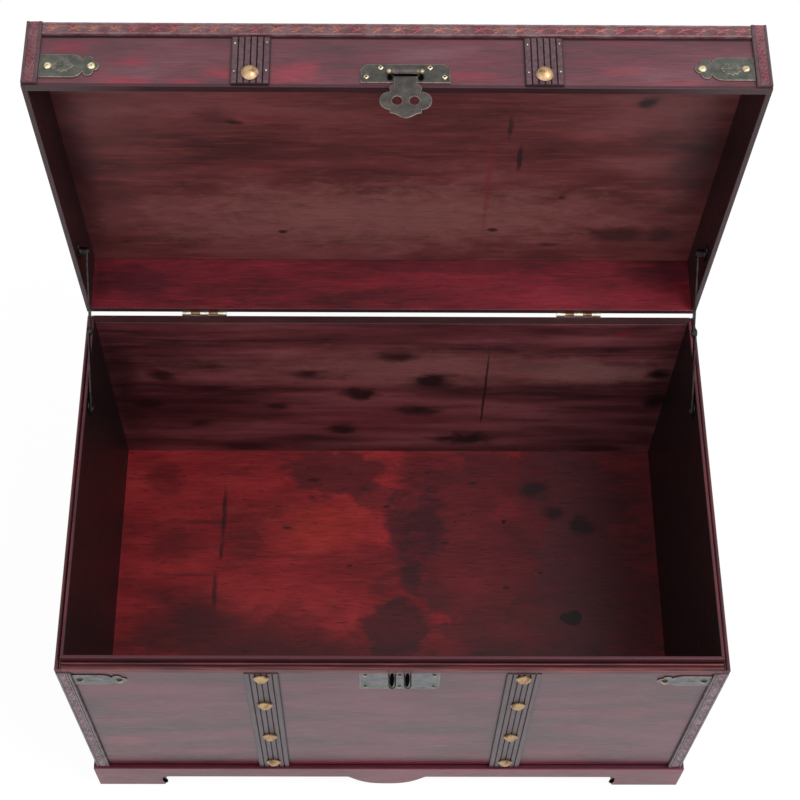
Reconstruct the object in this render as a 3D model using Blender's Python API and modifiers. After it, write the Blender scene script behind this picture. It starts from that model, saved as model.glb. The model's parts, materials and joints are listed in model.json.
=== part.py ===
"""Wooden storage chest: a boarded box on a bracket-foot plinth, with a hinged lid and a brass hasp.

Metres, +Z up, front towards -Y. The chest stands open, as photographed. The origin is on the
ground, under the middle of the open chest. Pieces of the lid are modelled as if it were closed,
under an empty on the hinge line that turns them open.
"""

import math

import bmesh
import bpy

# Clearance between two pieces that rest against each other
GAP = 0.0003
# How far a cutter runs past what it cuts
OVERCUT = 0.01
# Points on an ogee curve
OGEE_STEPS = 8
LOBE_STEPS = 10
# Points on the quarter ellipse of a strap's shoulder
SHOULDER_STEPS = 6
SIDES = ((-1, "left"), (1, "right"))

# Chest box, measured over the rim
BODY_WIDTH = 0.650
BODY_DEPTH = 0.398
RIM_TOP = 0.365
WALL = 0.009
RIM_HEIGHT = 0.0097
FRONT_OVERHANG = 0.002
SIDE_OVERHANG = 0.0005
LIP_THICK = 0.003
LIP_RISE = 0.0083
BEAD_RADIUS = 0.0023
QUIRK_DEPTH = 0.0018

# Floor board, let into grooves in the four walls
FLOOR_TOP = 0.070
FLOOR_THICK = 0.006
GROOVE_REACH = 0.004

# Plinth with bracket feet, and a hanging centre lobe in front
PLINTH_SIDE_STEP = 0.0035
PLINTH_FRONT_STEP = 0.0035
PLINTH_THICK = 0.012
PLINTH_TOP = 0.058
PLINTH_SHOULDER = 0.038
FOOT_HEIGHT = 0.0295
FOOT_LENGTH = 0.0725
FOOT_BULGE = 0.0035
FOOT_COVE = 0.0085
LOBE_X = -0.0025
LOBE_WIDTH = 0.088
LOBE_FULLNESS = 2.8
LOBE_EASE = 0.05
LOBE_BOTTOM = 0.004

# Trim on the front of the box and of the lid
TRIM_THICK = 0.003
BAND_X = 0.1275
BAND_WIDTH = 0.033
BAND_REEDS = 6
REED_GROOVE = 0.0014
REED_DEPTH = 0.0012
BAND_CROWN = 0.0004
CORNER_WIDTH = 0.0140
STRIP_RIDGE = 0.0022
STRIP_SINK = 0.0006
STRIP_EASE = 0.0008

# Domed nails
NAIL_RADIUS = 0.00775
NAIL_RISE = 0.005
NAIL_SHANK = 0.0016
NAIL_SIDES = 16
NAIL_HEIGHTS = (0.344, 0.267, 0.167, 0.079)
LID_NAIL_RISE = 0.0124

# Corner straps, cut from sheet with a trefoil end
SHEET = 0.001
STRAP_LENGTH = 0.0520
STRAP_HALF = 0.0120
STRAP_SHOULDER = 0.0280
STRAP_NECK = 0.0380
STRAP_NECK_HALF = 0.0040
STRAP_LOBE = 0.0047
STRAP_LOBE_TILT = 20
STRAP_Z = 0.332
LID_STRAP_RISE = 0.0205

# Lid
LID_SIDE_STEP = 0.0002
LID_GAP = 0.0008
LID_HEIGHT = 0.0677
LID_TOP_THICK = 0.0065
LID_FRONT_WALL = 0.0074
LID_SIDE_WALL = 0.005
LID_BACK_WALL = 0.007
LID_OPEN = math.radians(87.2)
LID_EDGE_BEVEL = 0.001
TOP_STRIP_WIDTH = 0.0128
TOP_STRIP_DROP = 0.0015
BAND_TOP_RISE = 0.051
LID_TRIM_RISE = 0.002

# Butt hinges on the outside of the back
HINGE_X = 0.200
HINGE_LENGTH = 0.0474
HINGE_KNUCKLES = 5
HINGE_LEAF = 0.0012
HINGE_LEAF_HEIGHT = 0.022
HINGE_BARREL = 0.00255
HINGE_BORE = 0.0014
HINGE_PIN = 0.0011
HINGE_LIFT = 0.0001

# Hasp, striker plate and staples
HASP_X = 0.007
HASP_PLATE_WIDTH = 0.0775
HASP_PLATE_LOW = 0.0042
HASP_PLATE_HEIGHT = 0.0194
HASP_CHAMFER = 0.005
HASP_PIN_RISE = 0.014
HASP_PIN = 0.0011
HASP_BORE = 0.0014
HASP_BARREL = 0.0026
HASP_BALL = 0.0023
HASP_EAR = 0.0011
FLAP_SHEET = 0.0012
FLAP_DROOP = math.radians(3)
FLAP_NECK = 0.0200
FLAP_SCALLOP_DROP = 0.0178
FLAP_SCALLOP_X = 0.0097
FLAP_SCALLOP = 0.0043
FLAP_LOBE_X = 0.0136
FLAP_LOBE = 0.0090
FLAP_SHOULDER_DROP = 0.0424
FLAP_SHOULDER = 0.0010
FLAP_LENGTH = 0.0475
FLAP_OGEE = 0.08
STAPLE_SPACING = 0.015
STAPLE_DROP = 0.0300
STAPLE_HOLE = 0.0045
STAPLE_WIRE = 0.00075
STAPLE_BEND = 0.0030
STAPLE_REACH = 0.01105
STRIKER_WIDTH = 0.078
STRIKER_HEIGHT = 0.0445

# Folding stays between the side walls and the lid
STAY_BODY_Y = 0.090
STAY_BODY_DROP = 0.009
STAY_LID_Y = 0.0983
STAY_LID_RISE = 0.0144
STAY_SHEET = 0.0013
STAY_LINK = 0.0015
STAY_HALF = 0.0050
STAY_PIN = 0.0018
STAY_HEAD = 0.0036
STAY_HEAD_THICK = 0.0010
STAY_BOSS = 0.0042
STAY_PLATE = 0.0240

# Lines that the pieces share
HALF_WIDTH = BODY_WIDTH / 2
FRONT_Y = -BODY_DEPTH / 2
BACK_Y = BODY_DEPTH / 2
PANEL_FRONT_Y = FRONT_Y + FRONT_OVERHANG
INNER_FRONT_Y = PANEL_FRONT_Y + WALL
INNER_BACK_Y = BACK_Y - WALL
PANEL_SIDE_X = HALF_WIDTH - SIDE_OVERHANG
INNER_SIDE_X = PANEL_SIDE_X - WALL
LIP_SIDE_X = INNER_SIDE_X + LIP_THICK
LIP_FRONT_Y = INNER_FRONT_Y - LIP_THICK
LIP_TOP = RIM_TOP + LIP_RISE
SHOULDER_Z = RIM_TOP - RIM_HEIGHT - GAP
PANEL_LOW = PLINTH_SHOULDER + GAP
FLOOR_LOW = FLOOR_TOP - FLOOR_THICK
PLINTH_FRONT_Y = FRONT_Y - PLINTH_FRONT_STEP
PLINTH_BACK_Y = BACK_Y + PLINTH_FRONT_STEP
PLINTH_SIDE_X = HALF_WIDTH + PLINTH_SIDE_STEP
TRIM_LOW = PLINTH_TOP + GAP
TRIM_TOP = SHOULDER_Z - GAP
LID_LOW = RIM_TOP + LID_GAP
LID_TOP = LID_LOW + LID_HEIGHT
LID_WALL_TOP = LID_TOP - LID_TOP_THICK - GAP
LID_SIDE_X = HALF_WIDTH - LID_SIDE_STEP
LID_INNER_X = LID_SIDE_X - LID_SIDE_WALL
HINGE_Y = BACK_Y + GAP + HINGE_BARREL
HINGE_Z = LID_LOW + HINGE_LIFT
HASP_PLATE_Y = FRONT_Y - GAP
HASP_AXIS_Y = HASP_PLATE_Y - SHEET - GAP - HASP_BARREL
HASP_AXIS_Z = LID_LOW + HASP_PIN_RISE
STRIKER_Y = PANEL_FRONT_Y - GAP
STAPLE_Z = HASP_AXIS_Z - STAPLE_DROP
STAPLE_END_Y = STRIKER_Y - SHEET - STAPLE_REACH - STAPLE_BEND - STAPLE_WIRE
STAY_BODY_Z = RIM_TOP - STAY_BODY_DROP
STAY_LID_Z = LID_LOW + STAY_LID_RISE

# Box of the open chest, which sets the origin
OPEN_SIN = math.sin(LID_OPEN)
OPEN_COS = math.cos(LID_OPEN)
REAR_REACH = HINGE_Y + OPEN_SIN * (LID_TOP - HINGE_Z) - OPEN_COS * (HINGE_Y - BACK_Y)
ORIGIN_Y = (STAPLE_END_Y + REAR_REACH) / 2

# Stay, straight from the wall pivot to the lid pivot when the lid is open
STAY_ARM_Y = STAY_LID_Y - HINGE_Y
STAY_ARM_Z = STAY_LID_Z - HINGE_Z
STAY_RUN = HINGE_Y + OPEN_COS * STAY_ARM_Y + OPEN_SIN * STAY_ARM_Z - STAY_BODY_Y
STAY_RISE = HINGE_Z - OPEN_SIN * STAY_ARM_Y + OPEN_COS * STAY_ARM_Z - STAY_BODY_Z
STAY_LENGTH = math.hypot(STAY_RUN, STAY_RISE) / 2

# Colours in linear RGB, with roughness and metallic value
MAHOGANY = ("mahogany", (0.155, 0.060, 0.070), 0.45, 0.0)
WORN_MAHOGANY = ("worn_mahogany", (0.200, 0.135, 0.150), 0.50, 0.0)
DEEP_RED = ("deep_red_mahogany", (0.110, 0.016, 0.018), 0.40, 0.0)
EMBOSSED = ("embossed_mahogany", (0.230, 0.075, 0.090), 0.55, 0.0)
AGED_BRASS = ("aged_brass", (0.075, 0.075, 0.065), 0.45, 1.0)
PALE_BRASS = ("pale_brass", (0.560, 0.400, 0.190), 0.30, 1.0)
STEEL = ("dark_steel", (0.035, 0.033, 0.036), 0.40, 1.0)

PLANES = {
    "XY": (0.0, 0.0, 0.0),
    "XZ": (math.pi / 2, 0.0, 0.0),
    "YZ": (math.pi / 2, 0.0, math.pi / 2),
}


def collection(name):
    made = bpy.data.collections.new(name)
    bpy.context.scene.collection.children.link(made)
    return made


def ride(obj, parent):
    """Parents a piece and keeps it where it is."""
    obj.parent = parent
    obj.matrix_parent_inverse = parent.matrix_world.inverted()


def paint(obj, finish):
    name, colour, roughness, metallic = finish
    found = bpy.data.materials.get(name)
    if found is None:
        found = bpy.data.materials.new(name)
        found.use_nodes = True
        shader = found.node_tree.nodes["Principled BSDF"]
        shader.inputs["Base Color"].default_value = (*colour, 1.0)
        shader.inputs["Roughness"].default_value = roughness
        shader.inputs["Metallic"].default_value = metallic
        found.diffuse_color = (*colour, 1.0)
    obj.data.materials.append(found)


def add_mesh(name, shape, finish, parent, location=(0.0, 0.0, 0.0), turn=(0.0, 0.0, 0.0)):
    """An object from a bmesh, as a part, or as a helper of the Booleans where it has no finish."""
    mesh = bpy.data.meshes.new(name)
    shape.to_mesh(mesh)
    shape.free()
    made = bpy.data.objects.new(name, mesh)
    made.location = location
    made.rotation_euler = turn
    ride(made, parent)
    if finish is None:
        hide(made)
    else:
        PARTS.objects.link(made)
        paint(made, finish)
    return made


def hide(helper):
    CUTTERS.objects.link(helper)
    helper.hide_render = True
    helper.display_type = "WIRE"


def smooth(obj, angle=40):
    obj.data.shade_smooth()
    obj.data.set_sharp_from_angle(angle=math.radians(angle))


def block(name, x, y, z, finish=None, parent=None):
    """A box between the (low, high) pairs x, y and z."""
    shape = bmesh.new()
    bmesh.ops.create_cube(shape, size=1.0)
    sizes = [high - low for low, high in (x, y, z)]
    bmesh.ops.scale(shape, vec=sizes, verts=shape.verts)
    middle = [(low + high) / 2 for low, high in (x, y, z)]
    return add_mesh(name, shape, finish, parent, middle)


def rod(name, radius, x, y, z, finish=None, parent=None, sides=20):
    """A cylinder along the one of x, y and z that is a (low, high) pair."""
    axis = next(i for i, place in enumerate((x, y, z)) if isinstance(place, tuple))
    low, high = (x, y, z)[axis]
    shape = bmesh.new()
    bmesh.ops.create_cone(
        shape, cap_ends=True, segments=sides, radius1=radius, radius2=radius, depth=high - low
    )
    middle = [sum(place) / 2 if isinstance(place, tuple) else place for place in (x, y, z)]
    turn = ((0.0, math.pi / 2, 0.0), (math.pi / 2, 0.0, 0.0), (0.0, 0.0, 0.0))[axis]
    made = add_mesh(name, shape, finish, parent, middle, turn)
    smooth(made)
    return made


def outline(name, loops, plane, low, high, finish=None, parent=None):
    """A flat shape from closed loops in a plane, between low and high on the third axis.

    A shape with no holes gets one face at each end, which holds up where points lie in one line.
    """
    curve = bpy.data.curves.new(name + "_outline", "CURVE")
    curve.dimensions = "2D"
    curve.fill_mode = "BOTH" if len(loops) > 1 else "NONE"
    curve.extrude = (high - low) / 2
    for loop in loops:
        spline = curve.splines.new("POLY")
        spline.points.add(len(loop) - 1)
        for point, (u, v) in zip(spline.points, loop):
            point.co = (u, v, 0.0, 1.0)
        spline.use_cyclic_u = True
    drawn = bpy.data.objects.new(name + "_outline", curve)
    CUTTERS.objects.link(drawn)
    graph = bpy.context.evaluated_depsgraph_get()
    mesh = bpy.data.meshes.new_from_object(drawn.evaluated_get(graph))
    shape = bmesh.new()
    shape.from_mesh(mesh)
    bmesh.ops.remove_doubles(shape, verts=shape.verts, dist=1e-6)
    ends = [edge for edge in shape.edges if edge.is_boundary]
    bmesh.ops.holes_fill(shape, edges=ends, sides=0)
    bmesh.ops.recalc_face_normals(shape, faces=shape.faces)
    bpy.data.objects.remove(drawn)
    bpy.data.meshes.remove(mesh)
    middle = (low + high) / 2
    location = {"XY": (0, 0, middle), "XZ": (0, middle, 0), "YZ": (middle, 0, 0)}[plane]
    made = add_mesh(name, shape, finish, parent, location, PLANES[plane])
    smooth(made)
    return made


def boolean(obj, other, operation):
    modifier = obj.modifiers.new(other.name, "BOOLEAN")
    modifier.operation = operation
    modifier.solver = "EXACT"
    modifier.object = other
    return obj


def cut(obj, *cutters):
    for cutter in cutters:
        boolean(obj, cutter, "DIFFERENCE")
    return obj


def join(obj, *others):
    for other in others:
        boolean(obj, other, "UNION")
    return obj


def soften(obj, width, segments=1):
    """Eases the outer edges of a wooden piece."""
    bevel = obj.modifiers.new("eased_edges", "BEVEL")
    bevel.width = width
    bevel.segments = segments
    bevel.limit_method = "ANGLE"
    bevel.angle_limit = math.radians(50)
    return obj


def arc(centre, radius, start, end, steps):
    """Points on a circle from start to end, in degrees, both included."""
    u, v = centre
    turns = [math.radians(start + (end - start) * step / steps) for step in range(steps + 1)]
    return [(u + radius * math.cos(turn), v + radius * math.sin(turn)) for turn in turns]


def circle(centre, radius, steps):
    return arc(centre, radius, 0, 360, steps)[:-1]


def rectangle(u, v):
    return [(u[0], v[0]), (u[1], v[0]), (u[1], v[1]), (u[0], v[1])]


def bearing(start, end):
    """The direction from one point to another, in degrees."""
    return math.degrees(math.atan2(end[1] - start[1], end[0] - start[0]))


def crossing(first, first_radius, second, second_radius):
    """Where two circles cross, on the left of the line from the first centre to the second."""
    across = math.dist(first, second)
    along = (across**2 + first_radius**2 - second_radius**2) / (2 * across)
    rise = math.sqrt(first_radius**2 - along**2)
    u, v = (second[0] - first[0]) / across, (second[1] - first[1]) / across
    return (first[0] + along * u - rise * v, first[1] + along * v + rise * u)


def mirrored(points):
    """The points and then their mirror images in the line u = 0, in one closed order."""
    return points + [(-u, v) for u, v in reversed(points) if abs(u) > 1e-9]


def axis(name, location, parent=None):
    """An empty on a joint's line. It is turned to the open pose at the end."""
    made = bpy.data.objects.new(name, None)
    made.empty_display_size = 0.02
    made.location = location
    PARTS.objects.link(made)
    if parent is not None:
        ride(made, parent)
    bpy.context.view_layer.update()
    return made


def corner_section(low, high, back):
    """Section of a trim strip: eased outer corners and a sunk face between two ridges."""
    front = back - TRIM_THICK
    sunk = front + STRIP_SINK
    return [
        (low, back),
        (low, front + STRIP_EASE),
        (low + STRIP_EASE, front),
        (low + STRIP_RIDGE, front),
        (low + STRIP_RIDGE + STRIP_SINK, sunk),
        (high - STRIP_RIDGE - STRIP_SINK, sunk),
        (high - STRIP_RIDGE, front),
        (high - STRIP_EASE, front),
        (high, front + STRIP_EASE),
        (high, back),
    ]


def band_section(middle, back):
    """Section of a reeded band: V grooves part the reeds, and the face is slightly crowned."""
    def place(u, depth):
        return (middle + u, back - TRIM_THICK + BAND_CROWN * (2 * u / BAND_WIDTH) ** 2 + depth)

    half = BAND_WIDTH / 2
    points = [(middle - half, back), place(-half, 0.0)]
    for groove in range(1, BAND_REEDS):
        at = groove * BAND_WIDTH / BAND_REEDS - half
        points += [place(at - REED_GROOVE / 2, 0.0), place(at, REED_DEPTH), place(at + REED_GROOVE / 2, 0.0)]
    return points + [place(half, 0.0), (middle + half, back)]


def rim_section(outer, inner, towards):
    """Section of the rim moulding: a large bead outside, a quirk, and a small bead inside."""
    low, high = SHOULDER_Z + GAP, RIM_TOP
    quirk = high - QUIRK_DEPTH
    end = math.degrees(math.asin(1 - QUIRK_DEPTH / BEAD_RADIUS))
    large = arc((BEAD_RADIUS, high - BEAD_RADIUS), BEAD_RADIUS, 180, end, 8)
    step = large[-1][0] + GAP
    width = abs(inner - outer)
    small_radius = (width - step) / 2
    small = arc((step + small_radius, high - small_radius), small_radius, 180, 0, 6)
    profile = [(0.0, low), *large, (step, quirk), *small, (width, low)]
    return [(outer + towards * u, v) for u, v in profile]


def front_panel(chest, groove):
    points = [
        (-PANEL_SIDE_X, PANEL_LOW),
        (PANEL_SIDE_X, PANEL_LOW),
        (PANEL_SIDE_X, SHOULDER_Z),
        (LIP_SIDE_X, SHOULDER_Z),
        (LIP_SIDE_X, LIP_TOP),
        (-LIP_SIDE_X, LIP_TOP),
        (-LIP_SIDE_X, SHOULDER_Z),
        (-PANEL_SIDE_X, SHOULDER_Z),
    ]
    panel = outline("front_panel", [points], "XZ", PANEL_FRONT_Y, INNER_FRONT_Y, WORN_MAHOGANY, chest)
    rebate = block(
        "front_rebate",
        (-HALF_WIDTH, HALF_WIDTH),
        (PANEL_FRONT_Y - OVERCUT, LIP_FRONT_Y),
        (SHOULDER_Z, LIP_TOP + OVERCUT),
        parent=chest,
    )
    cut(panel, rebate, groove)


def side_panel(side, name, chest, groove):
    points = [
        (side * INNER_SIDE_X, PANEL_LOW),
        (side * PANEL_SIDE_X, PANEL_LOW),
        (side * PANEL_SIDE_X, SHOULDER_Z),
        (side * LIP_SIDE_X, SHOULDER_Z),
        (side * LIP_SIDE_X, LIP_TOP),
        (side * INNER_SIDE_X, LIP_TOP),
    ]
    panel = outline(
        name, [points], "XZ", INNER_FRONT_Y + GAP, INNER_BACK_Y - GAP, MAHOGANY, chest
    )
    cut(panel, groove)


def back_panel(chest, groove):
    points = [
        (-PANEL_SIDE_X, PANEL_LOW),
        (PANEL_SIDE_X, PANEL_LOW),
        (PANEL_SIDE_X, SHOULDER_Z),
        (LIP_SIDE_X, SHOULDER_Z),
        (LIP_SIDE_X, RIM_TOP),
        (-LIP_SIDE_X, RIM_TOP),
        (-LIP_SIDE_X, SHOULDER_Z),
        (-PANEL_SIDE_X, SHOULDER_Z),
    ]
    panel = outline("back_panel", [points], "XZ", INNER_BACK_Y, BACK_Y, MAHOGANY, chest)
    cut(panel, groove)


def floor_panel(chest):
    """The floor board, and the cutter of the grooves that hold its edges."""
    reach_x = INNER_SIDE_X + GROOVE_REACH
    low_y = INNER_FRONT_Y - GROOVE_REACH
    high_y = INNER_BACK_Y + GROOVE_REACH
    block(
        "floor_panel",
        (GAP - reach_x, reach_x - GAP),
        (low_y + GAP, high_y - GAP),
        (FLOOR_LOW, FLOOR_TOP),
        DEEP_RED,
        chest,
    )
    return block(
        "floor_groove",
        (-reach_x, reach_x),
        (low_y, high_y),
        (FLOOR_LOW - GAP, FLOOR_TOP + GAP),
        parent=chest,
    )


def rims(chest):
    front = rim_section(FRONT_Y, LIP_FRONT_Y - GAP, 1)
    outline("rim_front", [front], "YZ", -LIP_SIDE_X, LIP_SIDE_X, MAHOGANY, chest)
    for side, name in SIDES:
        section = rim_section(side * HALF_WIDTH, side * (LIP_SIDE_X + GAP), -side)
        outline("rim_" + name, [section], "XZ", FRONT_Y, BACK_Y, MAHOGANY, chest)


def foot_line(outer, inner):
    """Lower edge of half a plinth board, from its outer corner past the foot to the straight."""
    rise = FOOT_HEIGHT - FOOT_COVE
    bulge = [
        (inner - FOOT_BULGE / (rise / 2) * (u - inner), v)
        for u, v in arc((inner, rise / 2), rise / 2, -90, 90, 8)
    ]
    cove = arc((inner - FOOT_COVE, rise), FOOT_COVE, 0, 90, 6)
    return [(outer, PLINTH_TOP), (outer, 0.0), *bulge, *cove[1:]]


def lobe_line():
    """The hanging lobe, from right to left: eased at its ends and full in the middle."""
    drop = FOOT_HEIGHT - LOBE_BOTTOM
    side = []
    for step in range(LOBE_STEPS + 1):
        along = (step / LOBE_STEPS) ** 1.5
        eased = along**2 * (1 + LOBE_EASE) / (along + LOBE_EASE)
        fall = 1 - (1 - eased) ** LOBE_FULLNESS
        side.append((LOBE_WIDTH / 2 * (1 - along), FOOT_HEIGHT - drop * fall))
    return [(LOBE_X + u, v) for u, v in mirrored(side)]


def plinth(chest):
    """Four boards on the ground, rebated to carry the box on a shoulder."""
    inner_x = PLINTH_SIDE_X - FOOT_LENGTH
    right = foot_line(PLINTH_SIDE_X, inner_x)
    left = [(-u, v) for u, v in reversed(right)]
    rebate = block(
        "plinth_rebate",
        (-PANEL_SIDE_X - GAP, PANEL_SIDE_X + GAP),
        (PANEL_FRONT_Y - GAP, BACK_Y + GAP),
        (PLINTH_SHOULDER, PLINTH_TOP + OVERCUT),
        parent=chest,
    )
    front_inner = PLINTH_FRONT_Y + PLINTH_THICK
    back_inner = PLINTH_BACK_Y - PLINTH_THICK
    front = right + lobe_line() + left
    board = outline("plinth_front", [front], "XZ", PLINTH_FRONT_Y, front_inner, WORN_MAHOGANY, chest)
    cut(board, rebate)
    board = outline("plinth_back", [right + left], "XZ", back_inner, PLINTH_BACK_Y, MAHOGANY, chest)
    cut(board, rebate)
    back_foot = foot_line(back_inner - GAP, PLINTH_BACK_Y - FOOT_LENGTH)
    front_foot = [(-u, v) for u, v in reversed(foot_line(-front_inner - GAP, -PLINTH_FRONT_Y - FOOT_LENGTH))]
    for side, name in SIDES:
        low, high = sorted((side * PLINTH_SIDE_X, side * (PLINTH_SIDE_X - PLINTH_THICK)))
        board = outline("plinth_" + name, [back_foot + front_foot], "YZ", low, high, MAHOGANY, chest)
        cut(board, rebate)


def trim(chest, lid):
    """Reeded bands and embossed corner strips on the box, and on the lid with its top strip."""
    panel_back = PANEL_FRONT_Y - GAP
    lid_back = FRONT_Y - GAP
    lid_span = (LID_LOW + LID_TRIM_RISE, LID_LOW + BAND_TOP_RISE)
    for side, name in SIDES:
        band = outline(
            "band_" + name,
            [band_section(side * BAND_X, panel_back)],
            "XY",
            TRIM_LOW,
            TRIM_TOP,
            WORN_MAHOGANY,
            chest,
        )
        for number, height in enumerate(NAIL_HEIGHTS, 1):
            cut(band, nail(f"dome_nail_{name}_{number}", side * BAND_X, panel_back, height, chest))
        band = outline(
            "lid_band_" + name,
            [band_section(side * BAND_X, lid_back)],
            "XY",
            *lid_span,
            WORN_MAHOGANY,
            lid,
        )
        cut(band, nail("lid_dome_nail_" + name, side * BAND_X, lid_back, LID_LOW + LID_NAIL_RISE, lid))
        low, high = sorted((side * HALF_WIDTH, side * (HALF_WIDTH - CORNER_WIDTH)))
        section = corner_section(low, high, panel_back)
        outline("corner_strip_" + name, [section], "XY", TRIM_LOW, TRIM_TOP, EMBOSSED, chest)
        low, high = sorted((side * LID_SIDE_X, side * (LID_SIDE_X - CORNER_WIDTH)))
        section = corner_section(low, high, lid_back)
        strip_top = LID_TOP - STRIP_EASE
        outline("lid_corner_strip_" + name, [section], "XY", lid_span[0], strip_top, EMBOSSED, lid)
    high = LID_TOP - TOP_STRIP_DROP
    section = [(back, u) for u, back in corner_section(high - TOP_STRIP_WIDTH, high, lid_back)]
    reach = LID_SIDE_X - CORNER_WIDTH - GAP
    outline("lid_top_strip", [section], "YZ", -reach, reach, EMBOSSED, lid)


def nail(name, x, back, z, parent):
    """A domed nail on a band whose back is given. Returns the cutter of the hole for its shank."""
    ball = (NAIL_RADIUS**2 + NAIL_RISE**2) / (2 * NAIL_RISE)
    end = math.degrees(math.acos(NAIL_RADIUS / ball))
    dome = arc((0.0, NAIL_RISE - ball), ball, 90, end, 4)
    profile = [*dome, (NAIL_SHANK, 0.0), (NAIL_SHANK, -TRIM_THICK), (0.0, -TRIM_THICK)]
    mesh = bpy.data.meshes.new(name)
    edges = [(step, step + 1) for step in range(len(profile) - 1)]
    mesh.from_pydata([(u, 0.0, v) for u, v in profile], edges, [])
    made = bpy.data.objects.new(name, mesh)
    PARTS.objects.link(made)
    paint(made, PALE_BRASS)
    turned = made.modifiers.new("turned", "SCREW")
    turned.steps = turned.render_steps = NAIL_SIDES
    turned.use_merge_vertices = True
    turned.merge_threshold = 1e-5
    turned.use_smooth_shade = True
    made.location = (x, back - TRIM_THICK - GAP, z)
    made.rotation_euler = (math.pi / 2, 0.0, 0.0)
    ride(made, parent)
    hole_y = (back - TRIM_THICK - OVERCUT, back + OVERCUT)
    return rod(name + "_hole", NAIL_SHANK + GAP, x, hole_y, z, parent=parent, sides=10)


def strap_outline(outer, side, z):
    """A strap from its square outer end, through a neck, to a trefoil tip that points inwards."""
    tilt = math.radians(STRAP_LOBE_TILT)
    lobe = (STRAP_NECK + STRAP_LOBE * math.cos(tilt), STRAP_NECK_HALF + STRAP_LOBE * math.sin(tilt))
    tip = (STRAP_LENGTH - STRAP_LOBE, 0.0)
    notch = crossing(lobe, STRAP_LOBE, tip, STRAP_LOBE)
    shoulder = []
    for step in range(SHOULDER_STEPS + 1):
        turn = math.pi / 2 * step / SHOULDER_STEPS
        u = STRAP_SHOULDER + (STRAP_NECK - STRAP_SHOULDER) * math.sin(turn)
        shoulder.append((u, STRAP_NECK_HALF + (STRAP_HALF - STRAP_NECK_HALF) * math.cos(turn)))
    upper = [
        (0.0, STRAP_HALF),
        *shoulder,
        *arc(lobe, STRAP_LOBE, 180 + STRAP_LOBE_TILT, bearing(lobe, notch), 9)[1:],
        *arc(tip, STRAP_LOBE, bearing(tip, notch), 0, 4)[1:],
    ]
    loop = upper + [(u, -v) for u, v in reversed(upper[:-1])]
    return [(side * (outer - u), z + v) for u, v in loop]


def straps(chest, lid):
    for side, name in SIDES:
        loop = strap_outline(HALF_WIDTH - CORNER_WIDTH - GAP, side, STRAP_Z)
        outline("corner_strap_" + name, [loop], "XZ", STRIKER_Y - SHEET, STRIKER_Y, AGED_BRASS, chest)
        loop = strap_outline(LID_SIDE_X - CORNER_WIDTH - GAP, side, LID_LOW + LID_STRAP_RISE)
        back = HASP_PLATE_Y
        outline("lid_strap_" + name, [loop], "XZ", back - SHEET, back, AGED_BRASS, lid)


def striker(chest):
    """The plate below the rim, and two wire staples through it that take the padlock."""
    legs = [
        HASP_X + side * STAPLE_SPACING / 2 + leg * STAPLE_BEND for side in (-1, 1) for leg in (-1, 1)
    ]
    span = (HASP_X - STRIKER_WIDTH / 2, HASP_X + STRIKER_WIDTH / 2)
    holes = [circle((leg, STAPLE_Z), STAPLE_WIRE + GAP, 12) for leg in legs]
    face = rectangle(span, (TRIM_TOP - STRIKER_HEIGHT, TRIM_TOP))
    outline("striker_plate", [face, *holes], "XZ", STRIKER_Y - SHEET, STRIKER_Y, AGED_BRASS, chest)
    for side, name in SIDES:
        middle = HASP_X + side * STAPLE_SPACING / 2
        turn_y = STRIKER_Y - SHEET - STAPLE_REACH
        bend = arc((middle, turn_y), STAPLE_BEND, 180, 360, 10)
        end_y = STRIKER_Y - GAP
        route = [(middle - STAPLE_BEND, end_y), *bend, (middle + STAPLE_BEND, end_y)]
        wire("staple_" + name, [(x, y, STAPLE_Z) for x, y in route], STAPLE_WIRE, AGED_BRASS, chest)


def wire(name, route, radius, finish, parent):
    curve = bpy.data.curves.new(name, "CURVE")
    curve.dimensions = "3D"
    curve.bevel_depth = radius
    curve.bevel_resolution = 2
    curve.use_fill_caps = True
    spline = curve.splines.new("POLY")
    spline.points.add(len(route) - 1)
    for point, place in zip(spline.points, route):
        point.co = (*place, 1.0)
    made = bpy.data.objects.new(name, curve)
    PARTS.objects.link(made)
    paint(made, finish)
    ride(made, parent)


def leaf(name, x, up, finish, parent):
    """A hinge leaf on the back face, rising (up 1) or hanging (up -1) from its rolled knuckles."""
    inner = BACK_Y + GAP
    outer = inner + HINGE_LEAF
    meet = -math.degrees(math.acos((outer - HINGE_Y) / HINGE_BARREL))
    barrel = arc((HINGE_Y, 0.0), HINGE_BARREL, 180, meet, 20)
    points = [(outer, -HINGE_LEAF_HEIGHT), (inner, -HINGE_LEAF_HEIGHT), *barrel]
    loops = [points, circle((HINGE_Y, 0.0), HINGE_BORE, 16)]
    loops = [[(u, HINGE_Z - up * v) for u, v in loop] for loop in loops]
    low = x - HINGE_LENGTH / 2
    made = outline(name, loops, "YZ", low, low + HINGE_LENGTH, finish, parent)
    step = HINGE_LENGTH / HINGE_KNUCKLES
    clear = HINGE_BARREL + GAP
    edge = HINGE_Z + up * clear
    far = HINGE_Z - up * (clear + OVERCUT)
    first = 0 if up > 0 else 1
    for knuckle in range(first, HINGE_KNUCKLES, 2):
        start = low + knuckle * step - (OVERCUT if knuckle == 0 else GAP / 2)
        last = knuckle == HINGE_KNUCKLES - 1
        end = low + (knuckle + 1) * step + (OVERCUT if last else GAP / 2)
        cutter = block(
            f"{name}_slot_{knuckle}",
            (start, end),
            (BACK_Y - OVERCUT, HINGE_Y + clear + OVERCUT),
            sorted((edge, far)),
            parent=parent,
        )
        cut(made, cutter)


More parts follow.
